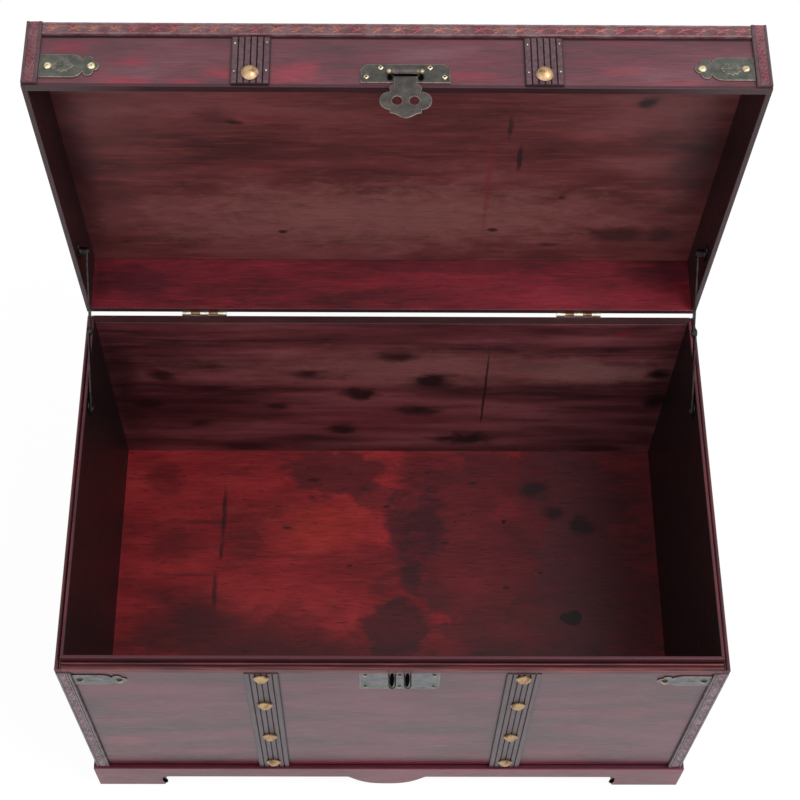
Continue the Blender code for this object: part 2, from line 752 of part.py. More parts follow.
def hinges(chest, lid):
    for side, name in SIDES:
        x = side * HINGE_X
        leaf("hinge_body_leaf_" + name, x, -1, PALE_BRASS, chest)
        leaf("hinge_lid_leaf_" + name, x, 1, PALE_BRASS, lid)
        span = (x - HINGE_LENGTH / 2, x + HINGE_LENGTH / 2)
        rod("hinge_pin_" + name, HINGE_PIN, span, HINGE_Y, HINGE_Z, PALE_BRASS, chest, sides=16)


def lid_boards(lid):
    span_x = (-LID_SIDE_X, LID_SIDE_X)
    wall_z = (LID_LOW, LID_WALL_TOP)
    inner_front = FRONT_Y + LID_FRONT_WALL
    inner_back = BACK_Y - LID_BACK_WALL
    top = block("lid_top", span_x, (FRONT_Y, BACK_Y), (LID_TOP - LID_TOP_THICK, LID_TOP), MAHOGANY, lid)
    soften(top, LID_EDGE_BEVEL)
    block("lid_front", span_x, (FRONT_Y, inner_front), wall_z, MAHOGANY, lid)
    block("lid_back", span_x, (inner_back, BACK_Y), wall_z, MAHOGANY, lid)
    for side, name in SIDES:
        span = sorted((side * LID_INNER_X, side * LID_SIDE_X))
        block("lid_side_" + name, span, (inner_front + GAP, inner_back - GAP), wall_z, MAHOGANY, lid)


def hasp(lid, flap_axis):
    """The hasp plate with its two ears, the ball-ended pin, and the flap rolled round the pin."""
    centre = (HASP_AXIS_Y, HASP_AXIS_Z)
    half = HASP_PLATE_WIDTH / 2
    low = LID_LOW + HASP_PLATE_LOW
    high = low + HASP_PLATE_HEIGHT
    face = [
        (HASP_X - half, low),
        (HASP_X + half, low),
        (HASP_X + half, high - HASP_CHAMFER),
        (HASP_X + half - HASP_CHAMFER, high),
        (HASP_X - half + HASP_CHAMFER, high),
        (HASP_X - half, high - HASP_CHAMFER),
    ]
    plate_front = HASP_PLATE_Y - SHEET
    plate = outline("hasp_plate", [face], "XZ", plate_front, HASP_PLATE_Y, AGED_BRASS, lid)
    root_y = HASP_PLATE_Y - SHEET / 2
    ear_shape = [
        (root_y, HASP_AXIS_Z - HASP_BARREL),
        *arc(centre, HASP_BARREL, 270, 90, 12),
        (root_y, HASP_AXIS_Z + HASP_BARREL),
    ]
    barrel_half = FLAP_NECK / 2 + GAP
    ear_inner = barrel_half + GAP
    for side, name in SIDES:
        span = sorted((HASP_X + side * ear_inner, HASP_X + side * (ear_inner + HASP_EAR)))
        loops = [ear_shape, circle(centre, HASP_BORE, 16)]
        join(plate, outline("hasp_ear_" + name, loops, "YZ", *span, parent=lid))
    ball_x = ear_inner + HASP_EAR + GAP + HASP_BALL
    pin = rod(
        "hasp_pin", HASP_PIN, (HASP_X - ball_x, HASP_X + ball_x), *centre, AGED_BRASS, lid, sides=16
    )
    for side, name in SIDES:
        shape = bmesh.new()
        bmesh.ops.create_uvsphere(shape, u_segments=12, v_segments=8, radius=HASP_BALL)
        join(pin, add_mesh("hasp_ball_" + name, shape, None, lid, (HASP_X + side * ball_x, *centre)))

    scallop = (FLAP_SCALLOP_X, -FLAP_SCALLOP_DROP)
    lobe = (FLAP_LOBE_X, -STAPLE_DROP)
    notch = crossing(scallop, FLAP_SCALLOP, lobe, FLAP_LOBE)
    neck = (FLAP_NECK / 2, scallop[1] + math.sqrt(FLAP_SCALLOP**2 - (FLAP_NECK / 2 - scallop[0]) ** 2))
    tip = []
    for step in range(OGEE_STEPS + 1):
        along = step / OGEE_STEPS
        fall = along - FLAP_OGEE * math.sin(2 * math.pi * along)
        drop = FLAP_SHOULDER_DROP + (FLAP_LENGTH - FLAP_SHOULDER_DROP) * fall
        tip.append(((FLAP_LOBE_X - FLAP_SHOULDER) * (1 - along), -drop))
    shoulder = (FLAP_LOBE_X - FLAP_SHOULDER, FLAP_SHOULDER - FLAP_SHOULDER_DROP)
    half_outline = [
        (FLAP_NECK / 2, 0.0),
        *arc(scallop, FLAP_SCALLOP, bearing(scallop, neck), bearing(scallop, notch), 6),
        *arc(lobe, FLAP_LOBE, bearing(lobe, notch), -90, 12)[1:],
        *arc(shoulder, FLAP_SHOULDER, 0, -90, 3),
        *tip[1:],
    ]
    loops = [mirrored(half_outline)]
    for side in (-1, 1):
        loops.append(circle((side * STAPLE_SPACING / 2, -STAPLE_DROP), STAPLE_HOLE, 24))
    loops = [[(HASP_X + u, HASP_AXIS_Z + v) for u, v in loop] for loop in loops]
    sheet = (HASP_AXIS_Y - FLAP_SHEET / 2, HASP_AXIS_Y + FLAP_SHEET / 2)
    flap = outline("hasp_flap", loops, "XZ", *sheet, AGED_BRASS, flap_axis)
    span = (HASP_X - barrel_half, HASP_X + barrel_half)
    join(flap, rod("flap_barrel", HASP_BARREL, span, *centre, parent=flap_axis))
    bore = (HASP_X - barrel_half - OVERCUT, HASP_X + barrel_half + OVERCUT)
    cut(flap, rod("flap_bore", HASP_BORE, bore, *centre, parent=flap_axis, sides=16))


def slot_loop(centre, reach, radius):
    """An outline with round ends, from the centre to a point at reach (u, v) from it."""
    u, v = centre
    turn = math.degrees(math.atan2(reach[1], reach[0]))
    start = arc(centre, radius, turn + 90, turn + 270, 8)
    return start + arc((u + reach[0], v + reach[1]), radius, turn - 90, turn + 90, 8)


def stay(side, name, chest, lid, lower_axis, upper_axis):
    """A folding stay: a bracket on the wall, two riveted links, and a bracket in the lid."""
    body_pivot = (STAY_BODY_Y, STAY_BODY_Z)
    lid_pivot = (STAY_LID_Y, STAY_LID_Z)
    plate_x = INNER_SIDE_X - GAP
    lower_x = plate_x - STAY_SHEET - GAP
    upper_x = lower_x - STAY_LINK - GAP

    def layer(outer, thick):
        return tuple(sorted((side * outer, side * (outer - thick))))

    def bracket(bracket_name, outer, pivot, reach, link_x, boss, parent):
        start = (pivot[0] - reach[0] / 2, pivot[1] - reach[1] / 2)
        loop = slot_loop(start, reach, STAY_HALF)
        made = outline(bracket_name, [loop], "YZ", *layer(outer, STAY_SHEET), STEEL, parent)
        root = outer - STAY_SHEET / 2
        if boss:
            collar = layer(root, root - link_x - GAP)
            join(made, rod(bracket_name + "_boss", STAY_BOSS, collar, *pivot, parent=parent))
        head_x = link_x - STAY_LINK - GAP
        shank = layer(root, root - head_x + STAY_HEAD_THICK / 2)
        join(made, rod(bracket_name + "_shank", STAY_PIN, shank, *pivot, parent=parent, sides=16))
        head = layer(head_x, STAY_HEAD_THICK)
        join(made, rod(bracket_name + "_head", STAY_HEAD, head, *pivot, parent=parent, sides=16))

    def link(link_name, outer, pivot, rivet_x, parent):
        reach = (STAY_LENGTH, 0.0)
        hole = circle(pivot, STAY_PIN + GAP, 16)
        loops = [slot_loop(pivot, reach, STAY_HALF), hole]
        made = outline(link_name, loops, "YZ", *layer(outer, STAY_LINK), STEEL, parent)
        knuckle = (pivot[0] + STAY_LENGTH, pivot[1])
        head = layer(*rivet_x)
        join(made, rod(link_name + "_rivet", STAY_HEAD, head, *knuckle, parent=parent, sides=16))

    body_reach = (0.0, STAY_PLATE - 2 * STAY_HALF)
    bracket("stay_body_bracket_" + name, plate_x, body_pivot, body_reach, lower_x, False, chest)
    lid_reach = (STAY_PLATE - 2 * STAY_HALF, 0.0)
    lid_plate_x = LID_INNER_X - GAP
    bracket("stay_lid_bracket_" + name, lid_plate_x, lid_pivot, lid_reach, upper_x, True, lid)
    half = STAY_LINK / 2
    outboard = (lower_x + STAY_HEAD_THICK, STAY_HEAD_THICK + half)
    link("stay_lower_link_" + name, lower_x, body_pivot, outboard, lower_axis)
    inboard = (upper_x - half, STAY_HEAD_THICK + half)
    link("stay_upper_link_" + name, upper_x, lid_pivot, inboard, upper_axis)


def build():
    chest = axis("storage_chest_origin", (0.0, 0.0, 0.0))
    lid = axis("lid_axis", (0.0, HINGE_Y, HINGE_Z), chest)
    flap_axis = axis("hasp_flap_axis", (HASP_X, HASP_AXIS_Y, HASP_AXIS_Z), lid)
    groove = floor_panel(chest)
    front_panel(chest, groove)
    back_panel(chest, groove)
    for side, name in SIDES:
        side_panel(side, name + "_side_panel", chest, groove)
    rims(chest)
    plinth(chest)
    lid_boards(lid)
    trim(chest, lid)
    straps(chest, lid)
    striker(chest)
    hasp(lid, flap_axis)
    hinges(chest, lid)
    lower_turn = math.atan2(STAY_RISE, STAY_RUN)
    turns = {lid: -LID_OPEN, flap_axis: FLAP_DROOP}
    for side, name in SIDES:
        lower = axis("stay_lower_axis_" + name, (side * INNER_SIDE_X, STAY_BODY_Y, STAY_BODY_Z), chest)
        upper = axis("stay_upper_axis_" + name, (side * INNER_SIDE_X, STAY_LID_Y, STAY_LID_Z), lid)
        stay(side, name, chest, lid, lower, upper)
        turns[lower] = lower_turn
        turns[upper] = lower_turn + math.pi + LID_OPEN
    for joint, turn in turns.items():
        joint.rotation_euler.x = turn
    chest.location.y = -ORIGIN_Y


for leftover in list(bpy.data.objects):
    bpy.data.objects.remove(leftover)
PARTS = collection("storage_chest")
CUTTERS = collection("cutters")
build()
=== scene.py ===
"""Looks of the wooden storage chest.

Metres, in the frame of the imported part: +Z up, front towards -Y, origin on the ground under the
middle of the open chest. Every new piece is a surface worked out with numpy. Pieces of the lid are
worked out as if the lid were shut, and then turned open about the hinge line.
"""

import json
import math

import bpy
import numpy as np
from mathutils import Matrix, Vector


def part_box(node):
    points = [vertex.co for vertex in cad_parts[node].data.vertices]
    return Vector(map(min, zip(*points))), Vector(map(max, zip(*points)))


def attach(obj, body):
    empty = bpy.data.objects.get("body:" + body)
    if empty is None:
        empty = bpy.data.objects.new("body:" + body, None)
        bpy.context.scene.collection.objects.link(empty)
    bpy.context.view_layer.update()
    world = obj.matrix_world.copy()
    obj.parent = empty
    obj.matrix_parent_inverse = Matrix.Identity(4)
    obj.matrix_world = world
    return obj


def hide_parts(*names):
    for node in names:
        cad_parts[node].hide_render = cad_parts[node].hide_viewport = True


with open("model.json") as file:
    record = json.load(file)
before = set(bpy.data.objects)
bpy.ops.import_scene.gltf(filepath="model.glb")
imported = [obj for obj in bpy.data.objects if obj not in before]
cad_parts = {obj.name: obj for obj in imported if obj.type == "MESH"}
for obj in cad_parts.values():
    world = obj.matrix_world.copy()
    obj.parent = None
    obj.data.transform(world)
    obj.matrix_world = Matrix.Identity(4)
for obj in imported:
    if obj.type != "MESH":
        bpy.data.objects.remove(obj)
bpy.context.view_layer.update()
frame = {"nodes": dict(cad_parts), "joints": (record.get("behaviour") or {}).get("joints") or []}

LID_HINGE = next(joint for joint in frame["joints"] if joint["name"] == "lid_hinge")
HASP_PIVOT = next(joint for joint in frame["joints"] if joint["name"] == "hasp_pivot")
HINGE_Y, HINGE_Z = LID_HINGE["pos_m"][1:]
LID_OPEN = math.radians(LID_HINGE["range_deg"][1])
SIDES = ((-1, "left"), (1, "right"))


def turned(points, angle):
    """Points turned about the hinge line, which runs along X: a plane rotation of y and z."""
    points = np.array(points, float)
    back, up = points[..., 1] - HINGE_Y, points[..., 2] - HINGE_Z
    points[..., 1] = HINGE_Y + math.cos(angle) * back + math.sin(angle) * up
    points[..., 2] = HINGE_Z - math.sin(angle) * back + math.cos(angle) * up
    return points


def opened(points):
    """Points of the shut lid, turned to where they are when the lid stands open."""
    return turned(points, LID_OPEN)


def shut_box(node):
    """Lowest and highest corners that a node of the lid has when the lid is shut."""
    mesh = frame["nodes"][node].data
    points = np.empty(len(mesh.vertices) * 3)
    mesh.vertices.foreach_get("co", points)
    points = turned(points.reshape(-1, 3), -LID_OPEN)
    return points.min(0), points.max(0)


# Faces that carry fittings, and the lines that they are set out from
BAND_LOW, BAND_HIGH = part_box("band_right")
BAND_X = (BAND_LOW[0] + BAND_HIGH[0]) / 2
BAND_WIDTH = BAND_HIGH[0] - BAND_LOW[0]
LID_BAND_LOW, LID_BAND_HIGH = shut_box("lid_band_right")
STRAP_LOW, STRAP_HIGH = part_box("corner_strap_right")
LID_STRAP_LOW, LID_STRAP_HIGH = shut_box("lid_strap_right")
STRAP_Z = (STRAP_LOW[2] + STRAP_HIGH[2]) / 2
LID_STRAP_Z = (LID_STRAP_LOW[2] + LID_STRAP_HIGH[2]) / 2
STRIKER_LOW, STRIKER_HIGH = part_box("striker_plate")
STRIKER_X = (STRIKER_LOW[0] + STRIKER_HIGH[0]) / 2
HASP_LOW, HASP_HIGH = shut_box("hasp_plate")
HASP_X = (HASP_LOW[0] + HASP_HIGH[0]) / 2
PIN_Y, PIN_Z = HASP_PIVOT["pos_m"][1:]
PLINTH_LOW, PLINTH_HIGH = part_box("plinth_front")
RIM_LOW, RIM_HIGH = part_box("rim_front")
PANEL_LOW, PANEL_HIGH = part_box("front_panel")
FLOOR_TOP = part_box("floor_panel")[1][2]
BACK_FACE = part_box("back_panel")[0][1]
LID_PANEL_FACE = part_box("lid_top")[0][1]
LID_LOW_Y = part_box("lid_front")[0][1]
INNER_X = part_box("right_side_panel")[0][0]
LID_INNER_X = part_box("lid_side_right")[0][0]

# The hasp plate's box starts at its ears, so its face is taken from the straps, of the same sheet
HASP_FACE = LID_STRAP_LOW[1]
SHEET = 0.001

# Domed nails: how far they rise, the radius of their shank, and how far they stand off the band
DOME_RISE = 0.0050
LID_DOME_RISE = 0.0049
DOME_SHANK = 0.0016
DOME_STAND = 0.0003

# Small heads that the solids leave out, each with its radius and its rise
STRAP_NAIL = (0.0034, 0.0022)
LID_STRAP_NAIL = (0.0036, 0.0022)
STRIKER_NAIL = (0.0021, 0.0016)
HASP_NAIL = (0.0019, 0.0008)
BRAD = (0.0007, 0.0004)
SCREW = (0.0026, 0.0009)
FOOT_EYE = (0.0030, 0.0006)
RIM_NAIL = (0.0009, 0.0005)
LOBE_NAIL = (0.0008, 0.0003)

# Where they sit, from the outer ends of the straps, the edges of the plates and the middle
STRAP_NAIL_INSETS = (0.0062, 0.0447)
LID_STRAP_NAIL_INSETS = (0.0077, 0.0457)
STRIKER_NAIL_SPACING = 0.0335
STRIKER_NAIL_ROWS = (STRIKER_HIGH[2] - 0.0067, STRIKER_LOW[2] + 0.0058)
HASP_NAIL_TOP = HASP_HIGH[2] - 0.0035
HASP_NAIL_PLACES = ((-0.0215, 0.0), (0.0215, 0.0), (-0.034, -0.0098), (0.034, -0.0098))
BRAD_OFF = 0.0139
BRAD_DROPS = ((-1, 0.14), (1, 0.12), (-1, 0.75), (1, 0.73))
SCREW_SHARES = (0.16, 0.5, 0.84)
SCREW_INSET = 0.0085
FOOT_EYE_X, FOOT_EYE_Z = 0.2530, 0.0150
RIM_NAIL_PLACE = (0.2974, RIM_LOW[1] + 0.006, RIM_HIGH[2] - 0.0003)
LOBE_NAIL_PLACE = (-0.0044, PLINTH_LOW[1], PLINTH_HIGH[2] - 0.0026)
LEAF_START, LEAF_LENGTH, LEAF_HALF, LEAF_RISE = 0.0100, 0.0200, 0.0062, 0.00028


def linear(hex_code, alpha=1.0):
    """An sRGB hex value as linear RGB."""
    parts = [int(hex_code[i : i + 2], 16) / 255 for i in (1, 3, 5)]
    return [c / 12.92 if c <= 0.04045 else ((c + 0.055) / 1.055) ** 2.4 for c in parts] + [alpha]


def add(tree, kind, inputs=(), out=0, ramp=None, **settings):
    """Adds a shader node with its settings, values and links, and gives one of its outputs."""
    made = tree.nodes.new("ShaderNode" + kind)
    for key, value in settings.items():
        setattr(made, key, value)
    for key, value in inputs.items() if isinstance(inputs, dict) else enumerate(inputs):
        if isinstance(value, bpy.types.NodeSocket):
            tree.links.new(value, made.inputs[key])
        else:
            made.inputs[key].default_value = linear(value) if isinstance(value, str) else value
    if ramp:
        stops = made.color_ramp.elements
        while len(stops) < len(ramp):
            stops.new(0.5)
        for stop, (spot, shade) in zip(stops, ramp):
            stop.position = spot
            stop.color = linear(shade)
    return made.outputs[out] if made.outputs else None


# Settings of a colour mix, and of a range with soft ends, for add
COLOUR = dict(out=2, data_type="RGBA")
SMOOTH = dict(interpolation_type="SMOOTHSTEP")


def material(name):
    """A new material, and its empty node tree."""
    made = bpy.data.materials.new(name)
    made.use_nodes = True
    made.node_tree.nodes.clear()
    return made, made.node_tree


def cells(grain, along, across):
    """Mapping scale that makes noise cells of two sizes in millimetres, along and across the grain."""
    return [1000 / (along if axis == grain else across) for axis in "XYZ"]


def rubbed(tree, colour, shade, share, radius, low=0.55, high=0.97):
    """Lays a share of a shade along the sharp edges, from how far a bevel turns the normal.

    Gives the colour, and the bevelled normal for the bump.
    """
    eased = add(tree, "Bevel", {"Radius": radius}, samples=6)
    true = add(tree, "NewGeometry", out="Normal")
    turn = add(tree, "VectorMath", (eased, true), out=1, operation="DOT_PRODUCT")
    laid = add(tree, "MapRange", (turn, high, low), **SMOOTH)
    laid = add(tree, "Math", (laid, share), operation="MULTIPLY")
    return add(tree, "Mix", {0: laid, 6: colour, 7: shade}, **COLOUR), eased


def finished(tree, values, height, strength, depth, eased=None):
    """Ends a material: a bump from the height, then the shader with its values, then the output."""
    bump = {"Strength": strength, "Distance": depth, "Height": height}
    if eased is not None:
        bump["Normal"] = eased
    values["Normal"] = add(tree, "Bump", bump)
    add(tree, "OutputMaterial", (add(tree, "BsdfPrincipled", values),))


def marked(tree, colour, place, ragged, marks):
    """Lays soft ellipsoids of colour over a colour: stains and knots, and in places painted shade.

    Each has its centre, reach, strength, core and shade. The core is the share that is solid.
    """
    for centre, reach, strength, core, shade in marks:
        off = add(tree, "VectorMath", (place, centre), operation="SUBTRACT")
        off = add(tree, "VectorMath", (off, reach), operation="DIVIDE")
        off = add(tree, "VectorMath", (off, ragged), operation="ADD")
        far = add(tree, "VectorMath", (off,), out=1, operation="LENGTH")
        laid = add(tree, "MapRange", (far, 1.0, core, 0.0, strength), **SMOOTH)
        colour = add(tree, "Mix", {0: laid, 6: colour, 7: shade}, **COLOUR)
    return colour


def zoned(tree, colour, zones, soft=0.0004):
    """Lays a shade over the part of a solid between two planes that faces a given way.

    Axis 0 is the distance from the middle plane of the chest, so that left and right are alike.
    Some zones are a solid's own colour, and some are painted shade.
    """
    parts = add(tree, "SeparateXYZ", (add(tree, "TexCoord", out="Object"),)).node.outputs
    spans = (add(tree, "Math", (parts[0],), operation="ABSOLUTE"), parts[1], parts[2])
    faced = add(tree, "TexCoord", out="Normal")
    for axis, low, high, facing, shade, share in zones:
        laid = add(tree, "MapRange", (spans[axis], low - soft, low + soft, 0.0, share), **SMOOTH)
        laid = add(tree, "MapRange", (spans[axis], high + soft, high - soft, 0.0, laid), **SMOOTH)
        if facing is not None:
            turn = add(tree, "VectorMath", (faced, facing), out=1, operation="DOT_PRODUCT")
            laid = add(tree, "MapRange", (turn, 0.6, 0.85, 0.0, laid), **SMOOTH)
        colour = add(tree, "Mix", {0: laid, 6: colour, 7: shade}, **COLOUR)
    return colour


def stained_board(
    name, dark, middle, light, streak, grain="X", seed=0.0, gloss=0.36, wear="#7a5048",
    wear_share=0.5, streaks=0.5, contrast=0.17, flecks=0.5, clouds=(140, 55), shine=0.5,
    varnish="#fff2f5", marks=(), zones=(),
):
    """Solid mahogany-stained softwood board, planed, brushed with stain and varnished.

    To the eye: clouds of tone about 140 by 55 mm, brush streaks about 70 by 7 mm, dark fibres about
    14 by 2 mm, grain lines 1.6 mm apart, which is coarser than the real ones so that they show,
    knots and blots of darker stain, and paler rubbed edges, under a satin varnish tinted with stain.
    Some marks and zones are painted shade: on inner faces, in corners and creases, and beside trims.
    """
    made, tree = material(name)
    place = add(tree, "TexCoord", out="Object")
    moved = add(tree, "Mapping", {"Vector": place, "Location": (seed, seed * 1.7, seed * 0.6)})
    layers = []
    for along, across, detail, rough, warp in (
        (*clouds, 4.0, 0.5, 0.2), (70, 7, 5.0, 0.62, 0.25), (22, 1.6, 6.0, 0.7, 0.3),
        (14, 2.4, 3.0, 0.55, 0.8), (32, 17, 5.0, 0.6, 0.5),
    ):
        cell = add(tree, "Mapping", {"Vector": moved, "Scale": cells(grain, along, across)})
        layer = {"Vector": cell, "Scale": 1.0, "Detail": detail, "Roughness": rough, "Distortion": warp}
        layers.append(add(tree, "TexNoise", layer))
    cloud, brush, fine, fibre, lumps = layers
    tones = ((0.5 - contrast, dark), (0.5, middle), (0.5 + contrast, light))
    colour = add(tree, "ValToRGB", (cloud,), ramp=tones)
    laid = add(tree, "MapRange", (brush, 0.48, 0.7, 0.0, streaks), **SMOOTH)
    colour = add(tree, "Mix", {0: laid, 6: colour, 7: streak}, **COLOUR)
    if marks:
        lumps = lumps.node.outputs["Color"]
        ragged = add(tree, "VectorMath", (lumps, (0.5, 0.5, 0.5)), operation="SUBTRACT")
        ragged = add(tree, "VectorMath", {0: ragged, "Scale": 1.3}, operation="SCALE")
        colour = marked(tree, colour, place, ragged, marks)
    lines = add(tree, "MapRange", (fine, 0.32, 0.66, 0.81, 1.17), **SMOOTH)
    lines = add(tree, "CombineColor", (lines, lines, lines))
    colour = add(tree, "Mix", {0: 1.0, 6: colour, 7: lines}, blend_type="MULTIPLY", **COLOUR)
    laid = add(tree, "MapRange", (fibre, 0.56, 0.74, 0.0, flecks), **SMOOTH)
    dull = add(tree, "Mix", {0: 1.0, 6: colour, 7: "#909090"}, blend_type="MULTIPLY", **COLOUR)
    colour = add(tree, "Mix", {0: laid, 6: colour, 7: dull}, **COLOUR)
    if zones:
        colour = zoned(tree, colour, zones)
    broken = add(tree, "MapRange", (brush, 0.38, 0.62, 0.25 * wear_share, wear_share), **SMOOTH)
    colour, eased = rubbed(tree, colour, wear, broken, 0.0011)
    rough = add(tree, "MapRange", (fine, 0.3, 0.7, gloss - 0.06, gloss + 0.1), **SMOOTH)
    values = {"Base Color": colour, "Roughness": rough, "IOR": 1.5, "Specular IOR Level": shine}
    values["Specular Tint"] = varnish
    finished(tree, values, fine, 0.22, 0.0004, eased)
    return made


def bead_worn_moulding(name, axis, lines, seed):
    """Stained hardwood moulding, cut with beads and rubbed through on top of each bead.

    To the eye: dark maroon in the quirks, and broken orange-pink lines where the beads are rubbed.
    Each line has its middle and half width along the axis across the moulding, and its strength.
    """
    made, tree = material(name)
    place = add(tree, "TexCoord", out="Object")
    parts = add(tree, "SeparateXYZ", (place,)).node.outputs
    moved = add(tree, "Mapping", {"Vector": place, "Location": (seed, seed, seed)})
    long = add(tree, "Mapping", {"Vector": moved, "Scale": cells("X" if axis == 1 else "Y", 60, 2)})
    wavy = {"Vector": long, "Scale": 1.0, "Detail": 5.0, "Roughness": 0.62, "Distortion": 0.2}
    wavy = add(tree, "TexNoise", wavy)
    tones = ((0.34, "#241013"), (0.5, "#3e171d"), (0.68, "#62282d"))
    colour = add(tree, "ValToRGB", (wavy,), ramp=tones)
    across = add(tree, "Math", (parts[0],), operation="ABSOLUTE") if axis == 0 else parts[1]
    for middle, half, share in lines:
        off = add(tree, "Math", (across, middle), operation="SUBTRACT")
        off = add(tree, "Math", (off,), operation="ABSOLUTE")
        laid = add(tree, "MapRange", (wavy, 0.36, 0.6, share * 0.35, share), **SMOOTH)
        laid = add(tree, "MapRange", (off, half, half * 0.45, 0.0, laid), **SMOOTH)
        worn = add(tree, "ValToRGB", (wavy,), ramp=((0.42, "#642b35"), (0.7, "#a05048")))
        colour = add(tree, "Mix", {0: laid, 6: colour, 7: worn}, **COLOUR)
    colour, eased = rubbed(tree, colour, "#8a4a4c", 0.3, 0.0006)
    values = {"Base Color": colour, "Roughness": 0.5, "IOR": 1.5, "Specular Tint": "#ffdcdc"}
    finished(tree, values, wavy, 0.2, 0.0003, eased)
    return made


def reeded_wood(name, dark, reed, groove, edge, zones):
    """Softwood band with six planed reeds, stained dark before the reeds were rubbed pale.

    To the eye: flat grey reeds parted by dark brown grooves, one sixth of the band apart.
    """
    made, tree = material(name)
    place = add(tree, "TexCoord", out="Object")
    parts = add(tree, "SeparateXYZ", (place,)).node.outputs
    off = add(tree, "Math", (parts[0],), operation="ABSOLUTE")
    off = add(tree, "Math", (off, BAND_WIDTH * 2 - BAND_X), operation="ADD")
    turn = add(tree, "Math", (off, BAND_WIDTH / 12), operation="PINGPONG")
    long = add(tree, "Mapping", {"Vector": place, "Scale": (250.0, 250.0, 25.0)})
    wavy = add(tree, "TexNoise", {"Vector": long, "Scale": 1.0, "Detail": 5.0, "Roughness": 0.62})
    colour = add(tree, "ValToRGB", (wavy,), ramp=((0.36, dark), (0.6, reed)))
    ragged = add(tree, "Math", (wavy, 0.0005, turn), operation="MULTIPLY_ADD")
    inside = add(tree, "MapRange", (ragged, 0.00105, 0.00065), **SMOOTH)
    colour = add(tree, "Mix", {0: inside, 6: colour, 7: groove}, **COLOUR)
    colour, eased = rubbed(tree, colour, edge, 0.4, 0.0005)
    colour = zoned(tree, colour, zones)
    values = {"Base Color": colour, "Roughness": 0.42, "IOR": 1.5}
    finished(tree, values, wavy, 0.25, 0.0003, eased)
    return made


def embossed_wood(name, ground, patch, ridge, high, bright, share):
    """Wood strip pressed with a running ornament, stained, with brighter colour laid on the relief.

    To the eye: a dark patchy field, an ornament made paler, partly brighter stain and partly a painted
    highlight, and plain ridges beside it.
    The attribute relief is 0 on the field, 1 on the ornament, and -1 on the plain ridges.
    """
    made, tree = material(name)
    place = add(tree, "TexCoord", out="Object")
    relief = add(tree, "Attribute", out="Fac", attribute_name="relief")
    fine, patchy = [
        add(tree, "TexNoise", {"Vector": place, "Scale": scale, "Detail": detail, "Roughness": 0.6})
        for scale, detail in ((1000 / 5, 4.0), (1000 / 16, 3.0))
    ]
    colour = add(tree, "ValToRGB", (patchy,), ramp=((0.4, ground), (0.62, patch)))
    stroke = add(tree, "ValToRGB", (patchy,), ramp=((0.38, high), (0.6, bright)))
    laid = add(tree, "MapRange", (fine, 0.32, 0.56, share * 0.2, share), **SMOOTH)
    laid = add(tree, "MapRange", (relief, 0.25, 0.75, 0.0, laid), **SMOOTH)
    colour = add(tree, "Mix", {0: laid, 6: colour, 7: stroke}, **COLOUR)
    plain = add(tree, "ValToRGB", (fine,), ramp=((0.3, ground), (0.6, ridge)))
    laid = add(tree, "MapRange", (relief, -0.2, -0.8), **SMOOTH)
    colour = add(tree, "Mix", {0: laid, 6: colour, 7: plain}, **COLOUR)
    finished(tree, {"Base Color": colour, "Roughness": 0.45, "IOR": 1.5}, fine, 0.2, 0.0003)
    return made


def patinated_brass(
    name, dark, light, edge, rough, seed=0.0, edge_share=0.8, metallic=0.6, marks=(), zones=()
):
    """Sheet brass with a dark chemical patina, rubbed back to bright metal along its edges.

    To the eye: cloudy green-grey with small specks, a bright pinkish line at each edge, and black
    dirt where the attribute relief is below 0, as in engraved lines. The marks and zones lay black
    painted shadow. Dirt and painted shadow have no gloss.
    """
    made, tree = material(name)
    place = add(tree, "TexCoord", out="Object")
    moved = add(tree, "Mapping", {"Vector": place, "Location": (seed, seed, seed)})
    cloud, speck = [
        add(tree, "TexNoise", {"Vector": moved, "Scale": scale, "Detail": detail, "Roughness": even})
        for scale, detail, even in ((1000 / 8, 5.0, 0.6), (1000 / 1.1, 3.0, 0.7))
    ]
    colour = add(tree, "ValToRGB", (cloud,), ramp=((0.35, dark), (0.65, light)))
    dirt = add(tree, "Attribute", out="Fac", attribute_name="relief")
    dirt = add(tree, "MapRange", (dirt, -0.1, -0.9), **SMOOTH)
    colour = add(tree, "Mix", {0: dirt, 6: colour, 7: "#1c1c1a"}, **COLOUR)
    broken = add(tree, "MapRange", (cloud, 0.36, 0.55, 0.5 * edge_share, edge_share), **SMOOTH)
    colour, eased = rubbed(tree, colour, edge, broken, 0.0010, 0.94, 0.999)
    colour = marked(tree, colour, place, (0.0, 0.0, 0.0), marks)
    if zones:
        colour = zoned(tree, colour, zones)
    gloss = add(tree, "MapRange", (speck, 0.3, 0.7, rough - 0.08, rough + 0.12), **SMOOTH)
    # Dark dirt and painted shadow lose their metal and their gloss
    clean_and_unshaded = add(tree, "MapRange", (add(tree, "RGBToBW", (colour,)), 0.004, 0.016), **SMOOTH)
    values = {"Base Color": colour, "Roughness": gloss}
    values["Metallic"] = add(tree, "Math", (clean_and_unshaded, metallic), operation="MULTIPLY")
    values["Specular IOR Level"] = add(tree, "Math", (clean_and_unshaded, 0.5), operation="MULTIPLY")
    finished(tree, values, speck, 0.12, 0.0002, eased)
    return made


